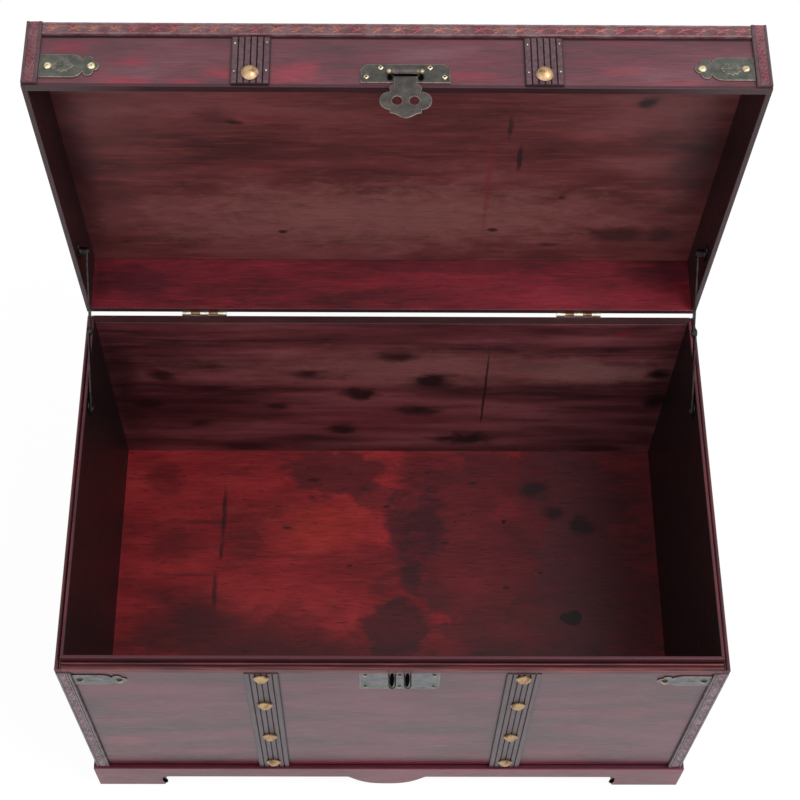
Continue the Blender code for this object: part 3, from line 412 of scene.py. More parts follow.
def stamped_brass(name, shade, deep, rim, rough, metallic=1.0):
    """Solid brass, stamped or rolled from sheet and left to tarnish lightly.

    To the eye: warm pale gold, brown where the attribute relief is below 0, which is tarnish in
    hollows and painted shade on the upper side of the nails, a rosier rim where it is above 0, which
    is in part a painted highlight, and small dents about 2 mm apart.
    """
    made, tree = material(name)
    place = add(tree, "TexCoord", out="Object")
    relief = add(tree, "Attribute", out="Fac", attribute_name="relief")
    dent, tarnish = [
        add(tree, "TexNoise", {"Vector": place, "Scale": scale, "Detail": detail, "Roughness": even})
        for scale, detail, even in ((1000 / 2.4, 3.0, 0.5), (1000 / 6, 4.0, 0.6))
    ]
    colour = add(tree, "ValToRGB", (tarnish,), ramp=((0.32, deep), (0.52, shade)))
    # A rosier rim, in part a painted highlight
    rosy = add(tree, "MapRange", (relief, 0.2, 0.9, 0.0, 0.8), **SMOOTH)
    colour = add(tree, "Mix", {0: rosy, 6: colour, 7: rim}, **COLOUR)
    # Tarnish in hollows, and painted shade on the upper side of the nails
    tarnish_and_shade = add(tree, "MapRange", (relief, -0.2, -0.9, 0.0, 0.95), **SMOOTH)
    colour = add(tree, "Mix", {0: tarnish_and_shade, 6: colour, 7: "#2a231a"}, **COLOUR)
    gloss = add(tree, "MapRange", (dent, 0.3, 0.7, rough - 0.06, rough + 0.1), **SMOOTH)
    values = {"Base Color": colour, "Roughness": gloss, "Metallic": metallic}
    finished(tree, values, dent, 0.35, 0.0004)
    return made


def mesh_piece(name, points, faces, finish, body, attribute=None, sharp=38):
    """Puts worked-out points and faces into a smooth mesh that rides on a body, faces outwards."""
    mesh = bpy.data.meshes.new(name)
    mesh.from_pydata(np.asarray(points).reshape(-1, 3).tolist(), [], faces)
    mesh.polygons.foreach_set("use_smooth", np.ones(len(mesh.polygons), bool))
    if attribute is not None:
        layer = mesh.attributes.new("relief", "FLOAT", "POINT")
        layer.data.foreach_set("value", np.asarray(attribute, np.float32).ravel())
    mesh.set_sharp_from_angle(angle=math.radians(sharp))
    mesh.materials.append(finish)
    mesh.calc_loop_triangles()
    corners = np.empty(len(mesh.loop_triangles) * 3, np.int32)
    mesh.loop_triangles.foreach_get("vertices", corners)
    held = np.asarray(points).reshape(-1, 3)
    held = held - held.mean(0)
    if np.linalg.det(held[corners.reshape(-1, 3)]).sum() < 0:
        mesh.flip_normals()
    made = bpy.data.objects.new(name, mesh)
    bpy.context.scene.collection.objects.link(made)
    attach(made, body)
    return made


def loft_faces(rings, count):
    """Quads between neighbouring closed rings of points, and one face at each end."""
    ring = np.arange(count)
    step = np.arange(rings - 1)[:, None] * count
    after = (ring + 1) % count
    quads = np.stack([step + ring, step + after, step + after + count, step + ring + count], -1)
    faces = quads.reshape(-1, 4).tolist()
    faces.append(ring[::-1].tolist())
    faces.append((ring + (rings - 1) * count).tolist())
    return faces


def distance_to(u, v, curves):
    """Least distance from each point (u, v) to the drawn curves, which are arrays of points."""
    drawn = np.concatenate(curves)
    apart = (u.ravel()[:, None] - drawn[:, 0]) ** 2 + (v.ravel()[:, None] - drawn[:, 1]) ** 2
    return np.sqrt(apart.min(1)).reshape(u.shape)


def drawn_arc(centre, radii, start, end, count=24):
    """Points of an ellipse arc: centre plus radii times cosine and sine of the turn."""
    turn = np.radians(np.linspace(start, end, count))
    return np.stack([centre[0] + radii[0] * np.cos(turn), centre[1] + radii[1] * np.sin(turn)], 1)


def drawn_stroke(root, tip, swell, count=16):
    """Points of a bowed stroke from root to tip: the line between them pushed sideways by a sine."""
    share = np.linspace(0, 1, count)[:, None]
    root, tip = np.array(root), np.array(tip)
    side = np.array([-(tip - root)[1], (tip - root)[0]])
    return root + (tip - root) * share + side * swell * np.sin(np.pi * share)


def spray_motif():
    """One repeat of two leaf sprays joined by arches, in millimetres along and across the strip."""
    burst, tail = (9.0, -0.3), (27.0, -0.6)
    return [
        drawn_stroke(root, tip, swell)
        for root, tip, swell in (
            (burst, (5.2, -3.0), 0.12), (burst, (6.0, 2.9), -0.14), (burst, (9.6, -3.0), 0.10),
            (burst, (12.3, 2.6), 0.16), (burst, (4.0, 0.2), -0.10), (burst, (12.6, 0.8), -0.10),
            (tail, (32.3, -2.8), 0.12), (tail, (23.2, -2.6), -0.12), (tail, (28.9, 2.8), -0.12),
            (tail, (30.4, 1.2), 0.14), (tail, (24.2, 1.6), -0.12),
            ((12.6, 1.0), (26.0, -0.2), 0.19), ((30.4, 1.2), (38.2, 0.6), 0.16),
        )
    ]


def vine_motif(period):
    """One repeat of a running vine, in millimetres: a sine stem with a curl and leaves each side."""
    run = np.linspace(0, period, 60)
    curves = [np.stack([run, 1.6 * np.sin(2 * np.pi * run / period)], 1)]
    for side, at in ((-1, 0.25), (1, 0.75)):
        middle = at * period
        curl = (middle + 0.8, side * 1.5)
        curves.append(drawn_arc(curl, (2.2, 1.5), 90 - side * 60, 90 - side * 330))
        for off, tip_off, drop, swell in ((-1.5, -4.2, 3.2, 0.3), (1.5, 3.9, 3.3, -0.3)):
            root = (middle + off, -side * 1.2)
            tip = (middle + tip_off, -side * drop)
            curves.append(drawn_stroke(root, tip, swell * side))
    return curves


def pressed_strip(name, node, body, box, along, ridges, motif, finish, side=1, turn=None):
    """A trim strip: a section carried along its length, with an ornament raised in its field.

    The section runs up one side, over an eased ridge, across a sunk field, over the other ridge and
    down. The ornament's height falls off from each drawn curve as a bell of the distance to it. A
    ridge over 3 mm wide has a bead cut into it, and the face waves by 0.08 mm along the strip. The
    strip runs along X or Z, with its face at -Y. The motif has its period, its curves and its bell
    in millimetres, then its rise and the depth of the field in metres.
    """
    period, curves, bell, rise, sink = motif
    low, high = box
    across = 2 if along == 0 else 0
    half = (high[across] - low[across]) / 2
    middle = (high[across] + low[across]) / 2
    length = high[along] - low[along]
    thick = high[1] - low[1]
    step = 0.0006
    run = np.linspace(0, length, int(length / step) + 1)
    outer, inner = ridges
    field = np.linspace(-half + outer + step, half - inner - step, 24)
    # The section as places across, and levels out from the face
    left = [(-half, -thick), (-half, -0.0009), (-half + 0.0003, -0.0003), (-half + 0.0009, 0.0)]
    left += [(-half + outer - 0.0003, 0.0), (-half + outer, -0.0001), (-half + outer + 0.0004, -sink)]
    right = [(half - inner - 0.0004, -sink), (half - inner, -0.0001), (half - inner + 0.0003, 0.0)]
    if inner > 0.003:
        groove = half - inner * 0.55
        right += [(groove - 0.0006, 0.0), (groove - 0.0002, -sink), (groove + 0.0002, -sink)]
        right += [(groove + 0.0006, 0.0)]
    right += [(half - 0.0009, 0.0), (half - 0.0003, -0.0003), (half, -0.0009), (half, -thick)]
    section = np.array(left + [(at, -sink) for at in field] + right)
    u, v = np.meshgrid(run, section[:, 0], indexing="ij")
    shifted = [curve + (shift, 0.0) for curve in curves for shift in (-period, 0.0, period)]
    near = distance_to(np.mod(u * 1000, period), v * 1000, shifted)
    level = np.exp(-((near / bell) ** 2))
    inside = (v > field[0] - 1e-6) & (v < field[-1] + 1e-6)
    lift = section[:, 1] + np.where(inside, level * rise, 0.0)
    lift[:, 2:-2] += (0.00008 * np.sin(run * 310) * np.sin(run * 83 + 1.0))[:, None]
    sunk = (~inside) & (section[:, 1] < -0.0002)
    colouring = np.where(inside, level, np.where(sunk, 0.0, -1.0))
    lengthways = low[along] + u
    sideways = side * (middle - v) if along == 2 else middle + v
    outwards = low[1] - lift
    points = [lengthways, outwards, sideways] if along == 0 else [sideways, outwards, lengthways]
    points = np.stack(points, -1)
    points = points if turn is None else turn(points)
    faces = loft_faces(len(run), len(section))
    made = mesh_piece(name, points, faces, finish, body, colouring)
    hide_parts(node)
    return made


def nail_head(
    name, centre, size, finish, body, turn=None, sides=32, node=None,
    square=0.0, pit=0.0, shank=0.0, tone=None, out=(0.0, -1.0, 0.0), slit=0.0, tall=1.0,
):
    """A nail or screw head: a profile turned about an axis that points out of what carries it.

    The size is its radius and rise. The profile climbs a thin rim, then a dome. Its radius waves by
    2 percent, three times round, from a start that its place gives. A square head pulls the circle
    out to a rounded square, a pit sinks the middle as a bell of the radius, and a slit sinks a
    strip across it. The tone colours it from the place along, up and out from the middle.
    """
    radius, rise = size
    # The profile from foot to top, as shares of the radius and of the rise
    share = np.array([1.0, 1.0, 0.97, 0.88, 0.75, 0.6, 0.42, 0.24, 0.1, 0.02])
    height = np.array([0.0, 0.1, 0.17, 0.34, 0.53, 0.70, 0.86, 0.95, 0.99, 1.0]) * rise
    height = height - pit * rise * np.exp(-((share / 0.32) ** 2))
    if shank:
        share = np.concatenate([[shank / radius] * 2, share])
        height = np.concatenate([[-0.003, 0.0], height])
    angle = np.linspace(0, 2 * math.pi, sides, endpoint=False)
    corner = 1.0 / np.maximum(np.abs(np.cos(angle)), np.abs(np.sin(angle))) ** square
    corner = np.minimum(corner, 1.0 + 0.36 * square)
    dip = 1.0 + 0.02 * np.cos(3 * angle + centre[0] * 900)
    reach = radius * share[:, None] * corner * dip
    tilt = angle + (math.pi / 4 if square else 0.0)
    along, up = reach * np.cos(tilt), reach * np.sin(tilt) * tall
    lift = np.broadcast_to(height[:, None], reach.shape)
    lift = lift - slit * rise * (np.abs(along) < 0.16 * radius) * (height[:, None] > 0.2 * rise)
    out = np.array(out)
    rising = np.array((0.0, 0.0, 1.0))
    points = np.array(centre) + along[..., None] * np.cross(out, rising) + up[..., None] * rising
    points = points + lift[..., None] * out
    points = points if turn is None else turn(points)
    colouring = np.zeros(reach.shape)
    if tone is not None:
        colouring = tone(along / radius, up / radius, share[:, None] + np.zeros(reach.shape))
    made = mesh_piece(name, points, loft_faces(len(share), sides), finish, body, colouring)
    if node:
        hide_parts(node)
    return made


def upper_crescent(along, up, share):
    """Painted shade on the upper side of a small nail, out from its middle."""
    return -np.clip((up - 0.1) * 6.0, 0.0, 1.0)


def rosy_rim(along, up, share):
    """A rosier rim on a large nail, in part a painted highlight, dark across its top as painted shade,
    and painted shade on its upper side that deepens to its foot.
    """
    dome = np.where(share > 0.55, 0.3, 0.0) - 0.95 * np.clip(up, 0.0, 0.6)
    return np.where(share > 0.9, np.where(up > 0.3, -0.7, 0.6), dome)


def pin_pit(along, up, share):
    """A small dark pit in the middle, and a darker foot."""
    return -0.8 * (share < 0.15) - 0.5 * (share > 0.9)


def dark_pit(along, up, share):
    """A dark pierced middle."""
    return -1.0 * (share < 0.5) - 0.35 * (share > 0.98)


def engraved_leaf(name, root_x, side, z, face, finish, body, turn=None):
    """A leaf raised from a strap: sections across its length, lens-shaped in plan.

    Its half width is a sine of the place along it, waved by 13 percent. Its height is cut by a
    groove for the midrib and by nine slanting grooves for the veins.
    """
    run = np.linspace(0.0, 1.0, 90)
    half = LEAF_HALF * np.sin(np.pi * np.clip(run, 0.02, 0.98)) ** 0.75
    half = half * (1.0 + 0.13 * np.sin(run * 2 * np.pi * 4.5))
    u, v = np.meshgrid(run, np.linspace(-1.0, 1.0, 41), indexing="ij")
    vein = np.abs(np.mod(u * 9 - np.abs(v) * 1.6, 1.0) - 0.5)
    cut = np.exp(-((v * half[:, None] / 0.0005) ** 2))
    cut = cut + 0.8 * np.exp(-((vein / 0.13) ** 2)) * (np.abs(v) < 0.86)
    cut = np.clip(cut, 0, 1)
    height = LEAF_RISE * (1 - v**6) * (1 - 0.85 * cut) + 0.00002
    along = root_x - side * (LEAF_START + LEAF_LENGTH * u)
    top = np.stack([along, face - height, z + v * half[:, None]], -1)
    bottom = top[:, ::-1].copy()
    bottom[..., 1] = face + 0.0002
    points = np.concatenate([top, bottom], 1)
    points = points if turn is None else turn(points)
    colouring = np.concatenate([-0.7 * cut, np.zeros(cut.shape)], 1)
    faces = loft_faces(len(run), points.shape[1])
    return mesh_piece(name, points, faces, finish, body, colouring)


# Woods. Marks are where the open chest has them, in millimetres, and rounded: first the place and
# reach along and across the board, then the strength, the core and the shade.
OPEN_DOWN = (0.0, -math.sin(LID_OPEN), -math.cos(LID_OPEN))
OPEN_FRONT = (0.0, -math.cos(LID_OPEN), math.sin(LID_OPEN))
UP = (0.0, 0.0, 1.0)
FRONT = (0.0, -1.0, 0.0)
BACK = (0.0, 1.0, 0.0)
KNOT = "#1c0c0e"
BLOT = "#32141a"


def on_wall(face, marks):
    """Marks through an upright or leaning board, given by x and z. They reach far along y."""
    return [
        ((x / 1000, face, z / 1000), (wide / 1000, 0.2, tall / 1000), *rest)
        for x, z, wide, tall, *rest in marks
    ]


def on_flat(face, marks):
    """Marks on a level board, given by x and y."""
    return [
        ((x / 1000, y / 1000, face), (wide / 1000, deep / 1000, 0.02), *rest)
        for x, y, wide, deep, *rest in marks
    ]


LID_PANEL = stained_board(
    "stained_mahogany_lid_panel", "#461d1f", "#642d2e", "#784042", "#843c3a", "X", 3.1, 0.52,
    contrast=0.19, flecks=0.4, clouds=(120, 36),
    marks=on_wall(LID_PANEL_FACE, [
        (0, 465, 340, 90, 0.8, 0.2, "#8c5854"), (-150, 660, 90, 50, 0.4, 0.1, "#7c3438"),
        (60, 680, 110, 40, 0.35, 0.1, "#783036"), (240, 431, 44, 20, 0.75, 0.2, KNOT),
        (286, 431, 26, 22, 0.7, 0.2, KNOT), (237, 666, 22, 19, 0.5, 0.1, BLOT),
        (237, 664, 13, 11, 0.9, 0.3, KNOT), (-171, 636, 36, 26, 0.6, 0.1, BLOT),
        (-153, 631, 14, 8, 0.85, 0.2, KNOT), (110, 623, 4, 26, 0.75, 0.3, KNOT),
        (123, 573, 4, 27, 0.85, 0.3, KNOT), (104, 441, 8, 6, 0.9, 0.4, KNOT),
        (-115, 435, 6, 5, 0.85, 0.4, KNOT), (172, 503, 5, 4, 0.75, 0.4, KNOT),
        (95, 520, 4, 130, 0.45, 0.2, "#7a2028"), (166, 411, 20, 6, 0.65, 0.2, KNOT),
        (-280, 500, 34, 20, 0.45, 0.1, BLOT), (255, 609, 34, 26, 0.5, 0.1, BLOT),
        # Painted shade along the two side walls and along the lid front
        (305, 570, 44, 130, 0.75, 0.1, "#2a1216"), (-315, 560, 26, 180, 0.7, 0.1, "#2a0f14"),
        (0, 752, 330, 16, 0.5, 0.1, "#3a1418"),
    ]),
)
LID_BACK = stained_board(
    "stained_mahogany_lid_back", "#48181e", "#6a1e28", "#7e2430", "#88222e", "X", 7.7, 0.36,
    marks=on_flat(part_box("lid_back")[1][2], [
        (-274, 209, 44, 20, 0.5, 0.6, "#3e1420"), (70, 227, 125, 12, 0.55, 0.6, "#421620"),
        (-312, 202, 14, 34, 0.5, 0.1, BLOT), (285, 212, 40, 24, 0.5, 0.2, "#3e1420"),
    ]),
    zones=[(2, -1.0, 2.0, OPEN_DOWN, "#2a1217", 0.9)],
)
LID_FRONT = stained_board(
    "stained_mahogany_lid_front", "#4c3036", "#5e353d", "#68434b", "#7c2e3c", "X", 11.3, 0.34,
    wear="#8c4038", streaks=0.4, flecks=0.15, clouds=(120, 32), varnish="#ffe8ee",
    marks=on_flat(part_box("lid_front")[1][2], [
        (-154, 167, 22, 8, 0.75, 0.1, "#902e3c"), (-92, 168, 46, 17, 0.75, 0.1, "#903644"),
        (-237, 160, 34, 8, 0.7, 0.2, "#8a2c3c"), (-231, 180, 24, 6, 0.6, 0.2, "#862c3c"),
        (-286, 196, 24, 8, 0.6, 0.2, "#7e2c3a"), (-181, 160, 26, 5, 0.6, 0.2, "#8c2c3c"),
        (60, 166, 44, 8, 0.4, 0.1, "#8a3040"), (196, 172, 34, 8, 0.4, 0.1, "#862c3a"),
        (245, 161, 30, 6, 0.45, 0.1, "#8a2c3c"),
    ]),
    zones=[
        (1, LID_LOW_Y - 0.001, LID_LOW_Y + 0.0030, OPEN_FRONT, "#2c1218", 0.8),
        # Painted shadow below the top strip, and painted shade beside the lid bands
        (1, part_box("lid_top_strip")[0][1] - 0.0022, 1.0, OPEN_FRONT, "#241014", 0.9),
        (0, LID_BAND_LOW[0] - 0.0009, LID_BAND_HIGH[0] + 0.0009, OPEN_FRONT, "#2c161a", 0.7),
        (2, -1.0, 2.0, OPEN_DOWN, "#240a10", 0.92),
    ],
)
LID_SIDE = stained_board(
    "stained_mahogany_lid_side", "#3a181d", "#502329", "#623038", "#6a2832", "Z", 5.5, 0.4,
    wear="#6a4444",
    zones=[
        # Painted shade on the inner faces of the lid's side walls
        (0, 0.0, LID_INNER_X + 0.0006, None, "#1a0b0d", 0.95),
        (2, -1.0, 2.0, OPEN_DOWN, "#2a1217", 0.9),
    ],
)
BACK_INSIDE = stained_board(
    "stained_mahogany_back", "#3c1a1f", "#663136", "#884a50", "#7e4246", "X", 1.9, 0.45,
    contrast=0.15, clouds=(180, 24),
    marks=on_wall(BACK_FACE, [
        (20, 272, 310, 56, 0.6, 0.1, "#98605e"), (230, 262, 110, 40, 0.65, 0.1, "#9c6a68"),
        (0, 150, 200, 60, 0.35, 0.1, "#8a3a44"), (-230, 170, 110, 60, 0.55, 0.1, "#2e1014"),
        (230, 130, 120, 80, 0.25, 0.1, "#32141a"), (-278, 188, 22, 17, 0.95, 0.45, "#120809"),
        (-256, 253, 23, 18, 0.9, 0.2, KNOT), (-204, 222, 24, 11, 0.8, 0.1, KNOT),
        (-130, 182, 22, 14, 0.9, 0.2, KNOT), (-93, 256, 33, 16, 0.9, 0.1, KNOT),
        (-36, 211, 28, 18, 0.97, 0.35, "#120809"), (-54, 127, 28, 17, 0.95, 0.3, KNOT),
        (5, 296, 38, 20, 0.9, 0.1, KNOT), (48, 241, 38, 22, 0.97, 0.3, "#120809"),
        (33, 173, 44, 17, 0.95, 0.15, KNOT), (90, 103, 54, 22, 0.97, 0.25, "#120809"),
        (-220, 141, 30, 13, 0.8, 0.1, KNOT), (-170, 82, 34, 14, 0.9, 0.1, KNOT),
        (252, 77, 38, 19, 0.85, 0.1, KNOT),
        (303, 259, 22, 15, 0.95, 0.3, "#0e0708"), (305, 197, 20, 22, 0.9, 0.2, "#0e0708"),
        (108, 220, 2.0, 104, 0.85, 0.5, KNOT), (250, 344, 12, 12, 0.7, 0.1, "#8a2028"),
        # Painted shade in the two back corners, across the top and along the floor
        (306, 180, 34, 170, 0.4, 0.1, "#1c0e10"), (-302, 200, 32, 170, 0.65, 0.1, "#1c0c0f"),
        (-34, 352, 340, 20, 0.35, 0.6, "#4a1a20"), (0, 78, 320, 16, 0.55, 0.1, "#2a1014"),
    ]),
    zones=[(2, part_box("back_panel")[1][2] - 0.001, 1.0, UP, "#240a0e", 0.9)],
)
SIDE_BOARD = stained_board(
    "stained_mahogany_side", "#3c151c", "#54222a", "#663038", "#6a2632", "Y", 9.2, 0.4,
    wear="#6a4444", streaks=0.4, shine=0.35,
    # Painted shade: the inner faces of the side walls are made nearly black
    zones=[(0, 0.0, INNER_X + 0.0006, None, "#0c0b0b", 0.98)],
)
FLOOR_BOARD = stained_board(
    "deep_red_floor_board", "#5e161b", "#821c22", "#98282b", "#98302f", "X", 2.4, 0.45, wear_share=0.1,
    streaks=0.4, flecks=0.8, clouds=(90, 45), shine=0.36,
    marks=on_flat(FLOOR_TOP, [
        (-90, 60, 95, 48, 0.4, 0.1, "#a83628"), (160, 30, 148, 185, 0.68, 0.78, "#3a151b"),
        (262, 30, 100, 340, 0.64, 0.6, "#462428"),
        (-66, 131, 68, 38, 0.72, 0.7, "#3c151a"), (-18, 100, 34, 22, 0.6, 0.6, "#3c151a"),
        (70, 140, 100, 36, 0.66, 0.5, "#46151b"), (31, 68, 43, 68, 0.72, 0.6, "#2c131b"),
        (24, -4, 18, 27, 0.75, 0.4, "#2c1319"),
        (141, 82, 32, 32, 0.5, 0.1, "#7c2028"), (89, -7, 54, 26, 0.45, 0.1, "#741c24"),
        # The first mark here is painted shade along the right wall
        (278, 13, 50, 190, 0.15, 0.2, "#241013"), (8, -69, 44, 38, 0.75, 0.76, "#2c1218"),
        (175, 110, 25, 20, 0.9, 0.3, "#160b0e"), (196, 80, 17, 13, 0.85, 0.3, "#180b0e"),
        (229, 62, 20, 17, 0.9, 0.4, "#160b0e"), (211, -54, 13, 10, 0.95, 0.75, "#10080a"),
        (137, 67, 3.2, 3.2, 0.95, 0.6, "#0c0607"), (79, 67, 1.6, 1.6, 0.9, 0.5, "#0c0607"),
        (99, 76, 1.6, 1.6, 0.9, 0.5, "#0c0607"), (-269, 119, 26, 35, 0.5, 0.5, "#480f14"),
        (-220, 66, 60, 5, 0.6, 0.1, "#3a0e12"), (-258, 39, 48, 38, 0.6, 0.3, "#400e14"),
        (-110, 22, 60, 6, 0.5, 0.1, "#480f14"), (-240, -2, 50, 3, 0.5, 0.1, "#300c10"),
        (-225, -44, 66, 42, 0.7, 0.1, "#3a0f13"), (-175, -84, 205, 60, 0.75, 0.2, "#370f13"),
        (-196, 74, 4, 48, 0.8, 0.3, KNOT), (-198, 30, 3, 16, 0.8, 0.3, KNOT),
        (-203, -22, 4, 29, 0.75, 0.3, KNOT), (-88, 122, 11, 4, 0.85, 0.3, KNOT),
        (-121, 59, 9, 3, 0.85, 0.3, KNOT), (-46, 10, 5, 2.5, 0.85, 0.3, KNOT),
        (101, 118, 9, 3, 0.8, 0.3, KNOT), (67, 40, 8, 3, 0.7, 0.3, KNOT),
        (136, -17, 6, 3.4, 0.85, 0.4, KNOT), (178, 2, 4, 3, 0.8, 0.4, KNOT),
        # The last mark here is a dark band across the floor near the front wall
        (-3, 87, 6, 3, 0.8, 0.4, KNOT), (20, -100, 330, 28, 0.65, 0.1, "#240b10"),
    ]),
)
FRONT_BOARD = stained_board(
    "rubbed_mahogany_front", "#38131d", "#4f1a28", "#632a38", "#6e2135", "X", 4.6, 0.32, streaks=0.3,
    contrast=0.15, flecks=0.15, clouds=(150, 40), shine=0.47, varnish="#ffe8f8", wear="#8a6a70",
    marks=on_wall(PANEL_LOW[1], [
        (-262, 259, 42, 18, 0.75, 0.2, "#641226"), (-282, 139, 42, 24, 0.6, 0.1, "#8a2640"),
        (-237, 200, 42, 16, 0.45, 0.2, "#30202a"), (-190, 104, 38, 18, 0.45, 0.2, "#7c2840"),
        (-59, 260, 44, 12, 0.4, 0.2, "#3a1622"), (248, 235, 34, 24, 0.55, 0.2, "#6e1c2c"),
        (157, 170, 30, 6, 0.6, 0.2, "#301018"), (180, 104, 66, 18, 0.45, 0.2, "#7a263a"),
        (170, 320, 60, 22, 0.5, 0.2, "#2c141c"), (60, 150, 60, 20, 0.35, 0.2, "#6c2438"),
        # The second mark here is painted shadow under the rim moulding
        (0, 62, 330, 14, 0.7, 0.2, "#7c1c32"), (0, 352, 330, 12, 0.5, 0.2, "#2c121a"),
    ]),
    zones=[
        # Painted shade: narrow dark lines beside the bands and the corner strips, above the plinth and
        # under the rim
        (0, BAND_LOW[0] - 0.0014, BAND_HIGH[0] + 0.0014, FRONT, "#241216", 0.75),
        (0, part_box("corner_strip_right")[0][0] - 0.0016, 1.0, FRONT, "#241216", 0.75),
        (2, PLINTH_HIGH[2] - 0.001, PLINTH_HIGH[2] + 0.0022, FRONT, "#241014", 0.8),
        (2, RIM_LOW[2] - 0.0030, RIM_LOW[2] + 0.001, FRONT, "#241014", 0.8),
        # The lip's front face above the rim, made dark
        (2, RIM_HIGH[2] - 0.001, 1.0, FRONT, "#3e1e24", 0.95),
        (2, PANEL_HIGH[2] - 0.002, 1.0, UP, "#44161a", 0.8),
        # Painted shade on the inner face of the front board
        (1, PANEL_HIGH[1] - 0.0006, 1.0, BACK, "#190b0d", 0.95),
    ],
)
PLINTH_FRONT = stained_board(
    "rubbed_mahogany_plinth", "#4c1220", "#5e1a2a", "#702840", "#7c2040", "X", 6.2, 0.34, streaks=0.5,
    varnish="#ffc8dc", wear="#8a6a70",
    zones=[
        (2, PLINTH_HIGH[2] - 0.002, 1.0, UP, "#3a121c", 0.85),
        (1, PLINTH_LOW[1] - 0.001, PLINTH_LOW[1] + 0.0016, UP, "#7c2a38", 0.6),
    ],
)
PLINTH_BOARD = stained_board(
    "stained_mahogany_plinth", "#421420", "#561c28", "#682a34", "#6e2430", "X", 8.8, 0.36,
)
RIM_FRONT = bead_worn_moulding(
    "rubbed_bead_front", 1,
    (
        (RIM_LOW[1] + 0.0002, 0.0013, 0.62), (RIM_LOW[1] + 0.0032, 0.0006, 0.25),
        (RIM_HIGH[1] - 0.0022, 0.0006, 0.5),
    ),
    2.0,
)
RIM_SIDE = bead_worn_moulding(
    "rubbed_bead_side", 0, ((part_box("rim_right")[1][0] - 0.0012, 0.0010, 0.3),), 4.0,
)
BODY_BAND = reeded_wood(
    "reeded_band_wood", "#3b282f", "#533d45", "#1c1012", "#74666c",
    [(2, BAND_HIGH[2] - 0.001, 1.0, UP, "#3a2c2e", 0.85)],
)
LID_BAND = reeded_wood(
    "reeded_lid_band_wood", "#43292f", "#5e434a", "#1c0f11", "#74585e",
    [(2, -1.0, 2.0, OPEN_DOWN, "#2a1a1c", 0.85)],
)
TOP_STRIP = embossed_wood(
    "embossed_top_strip", "#5a2e34", "#6c5254", "#846068", "#b04050", "#cc6a48", 0.9,
)
LID_CORNER = embossed_wood(
    "embossed_lid_corner", "#442a2f", "#5a4645", "#563c44", "#8c2e42", "#a24258", 0.8,
)
BODY_CORNER = embossed_wood(
    "embossed_body_corner", "#4c3c42", "#74626a", "#7e747a", "#a07880", "#b8969c", 0.9,
)

# The dished eyes of the feet: no metal and no gloss, so nearly black. The black stands partly for
# the dark cut end of each foot and partly for painted shade in the notch there.
HOLLOW = patinated_brass("dark_hollow_wood", "#0c0708", "#140b0c", "#1a0f10", 0.9, 8.0, 0.1, 0.0)

# Metals
# Near black for painted shadow: under the ears and the barrel of the hasp, and inside the staples
SHADOW_BLACK = "#0b0a0a"
HASP_BRASS = patinated_brass(
    "patinated_hasp_brass", "#3a3835", "#565450", "#c4aca0", 0.42, 1.0, 0.7,
    # Painted shadow under the two ears that hold the pin
    marks=[
        ((HASP_X + off, PIN_Y - 0.0042, PIN_Z - 0.003), (0.0036, 0.0052, 0.01), 1.0, 0.5, SHADOW_BLACK)
        for off in (-0.0135, 0.0135)
    ],
)
FLAP_BRASS = patinated_brass(
    "patinated_flap_brass", "#3e3b38", "#57534f", "#c4a498", 0.42, 6.0, 0.6,
    # Painted shadow of the barrel: a black band across the flap just below the pin
    zones=[(1, PIN_Y - 0.0058, PIN_Y - 0.0020, UP, SHADOW_BLACK, 1.0)],
)
STRAP_BRASS = patinated_brass("patinated_strap_brass", "#464844", "#62625a", "#b4a894", 0.42, 2.0)
BODY_PLATE_BRASS = patinated_brass(
    "patinated_plate_brass", "#505252", "#6e6f72", "#c4bcb8", 0.38, 3.0,
    # Painted shadow on the striker plate, inside and below each staple
    marks=[
        ((HASP_X + off, STRIKER_LOW[1], 0.3345), (0.0027, 0.002, 0.0240), 1.0, 0.8, SHADOW_BLACK)
        for off in (-0.0075, 0.0075)
    ],
)
WIRE_BRASS = patinated_brass("patinated_wire_brass", "#1a1815", "#2c2924", "#6c6250", 0.4, 4.0, 0.3)
PIN_BRASS = patinated_brass("polished_pin_brass", "#8a7a5c", "#c8b48c", "#e0d0b0", 0.3, 4.5)
# Its rim colour is in part a painted highlight on the lower rim of the domed nails
NAIL_BRASS = stamped_brass("stamped_nail_brass", "#be9f7a", "#856848", "#d0b0a0", 0.5)
TACK_BRASS = stamped_brass("stamped_tack_brass", "#dccca8", "#94825e", "#e2d4b6", 0.42)
PALE_NAIL = stamped_brass("tinned_tack_brass", "#f0e8dc", "#a89c88", "#f0e8dc", 0.45, 0.5)
HINGE_BRASS = stamped_brass("rolled_hinge_brass", "#e4dccc", "#b8a890", "#e8e0d0", 0.4)
HINGE_BROWN = stamped_brass("tarnished_hinge_brass", "#8a6c50", "#5c4430", "#9a7c60", 0.42)
DARK_STEEL = patinated_brass("blackened_steel", "#1c1a1b", "#343032", "#6a6260", 0.4, 5.0, 0.5, 0.9)

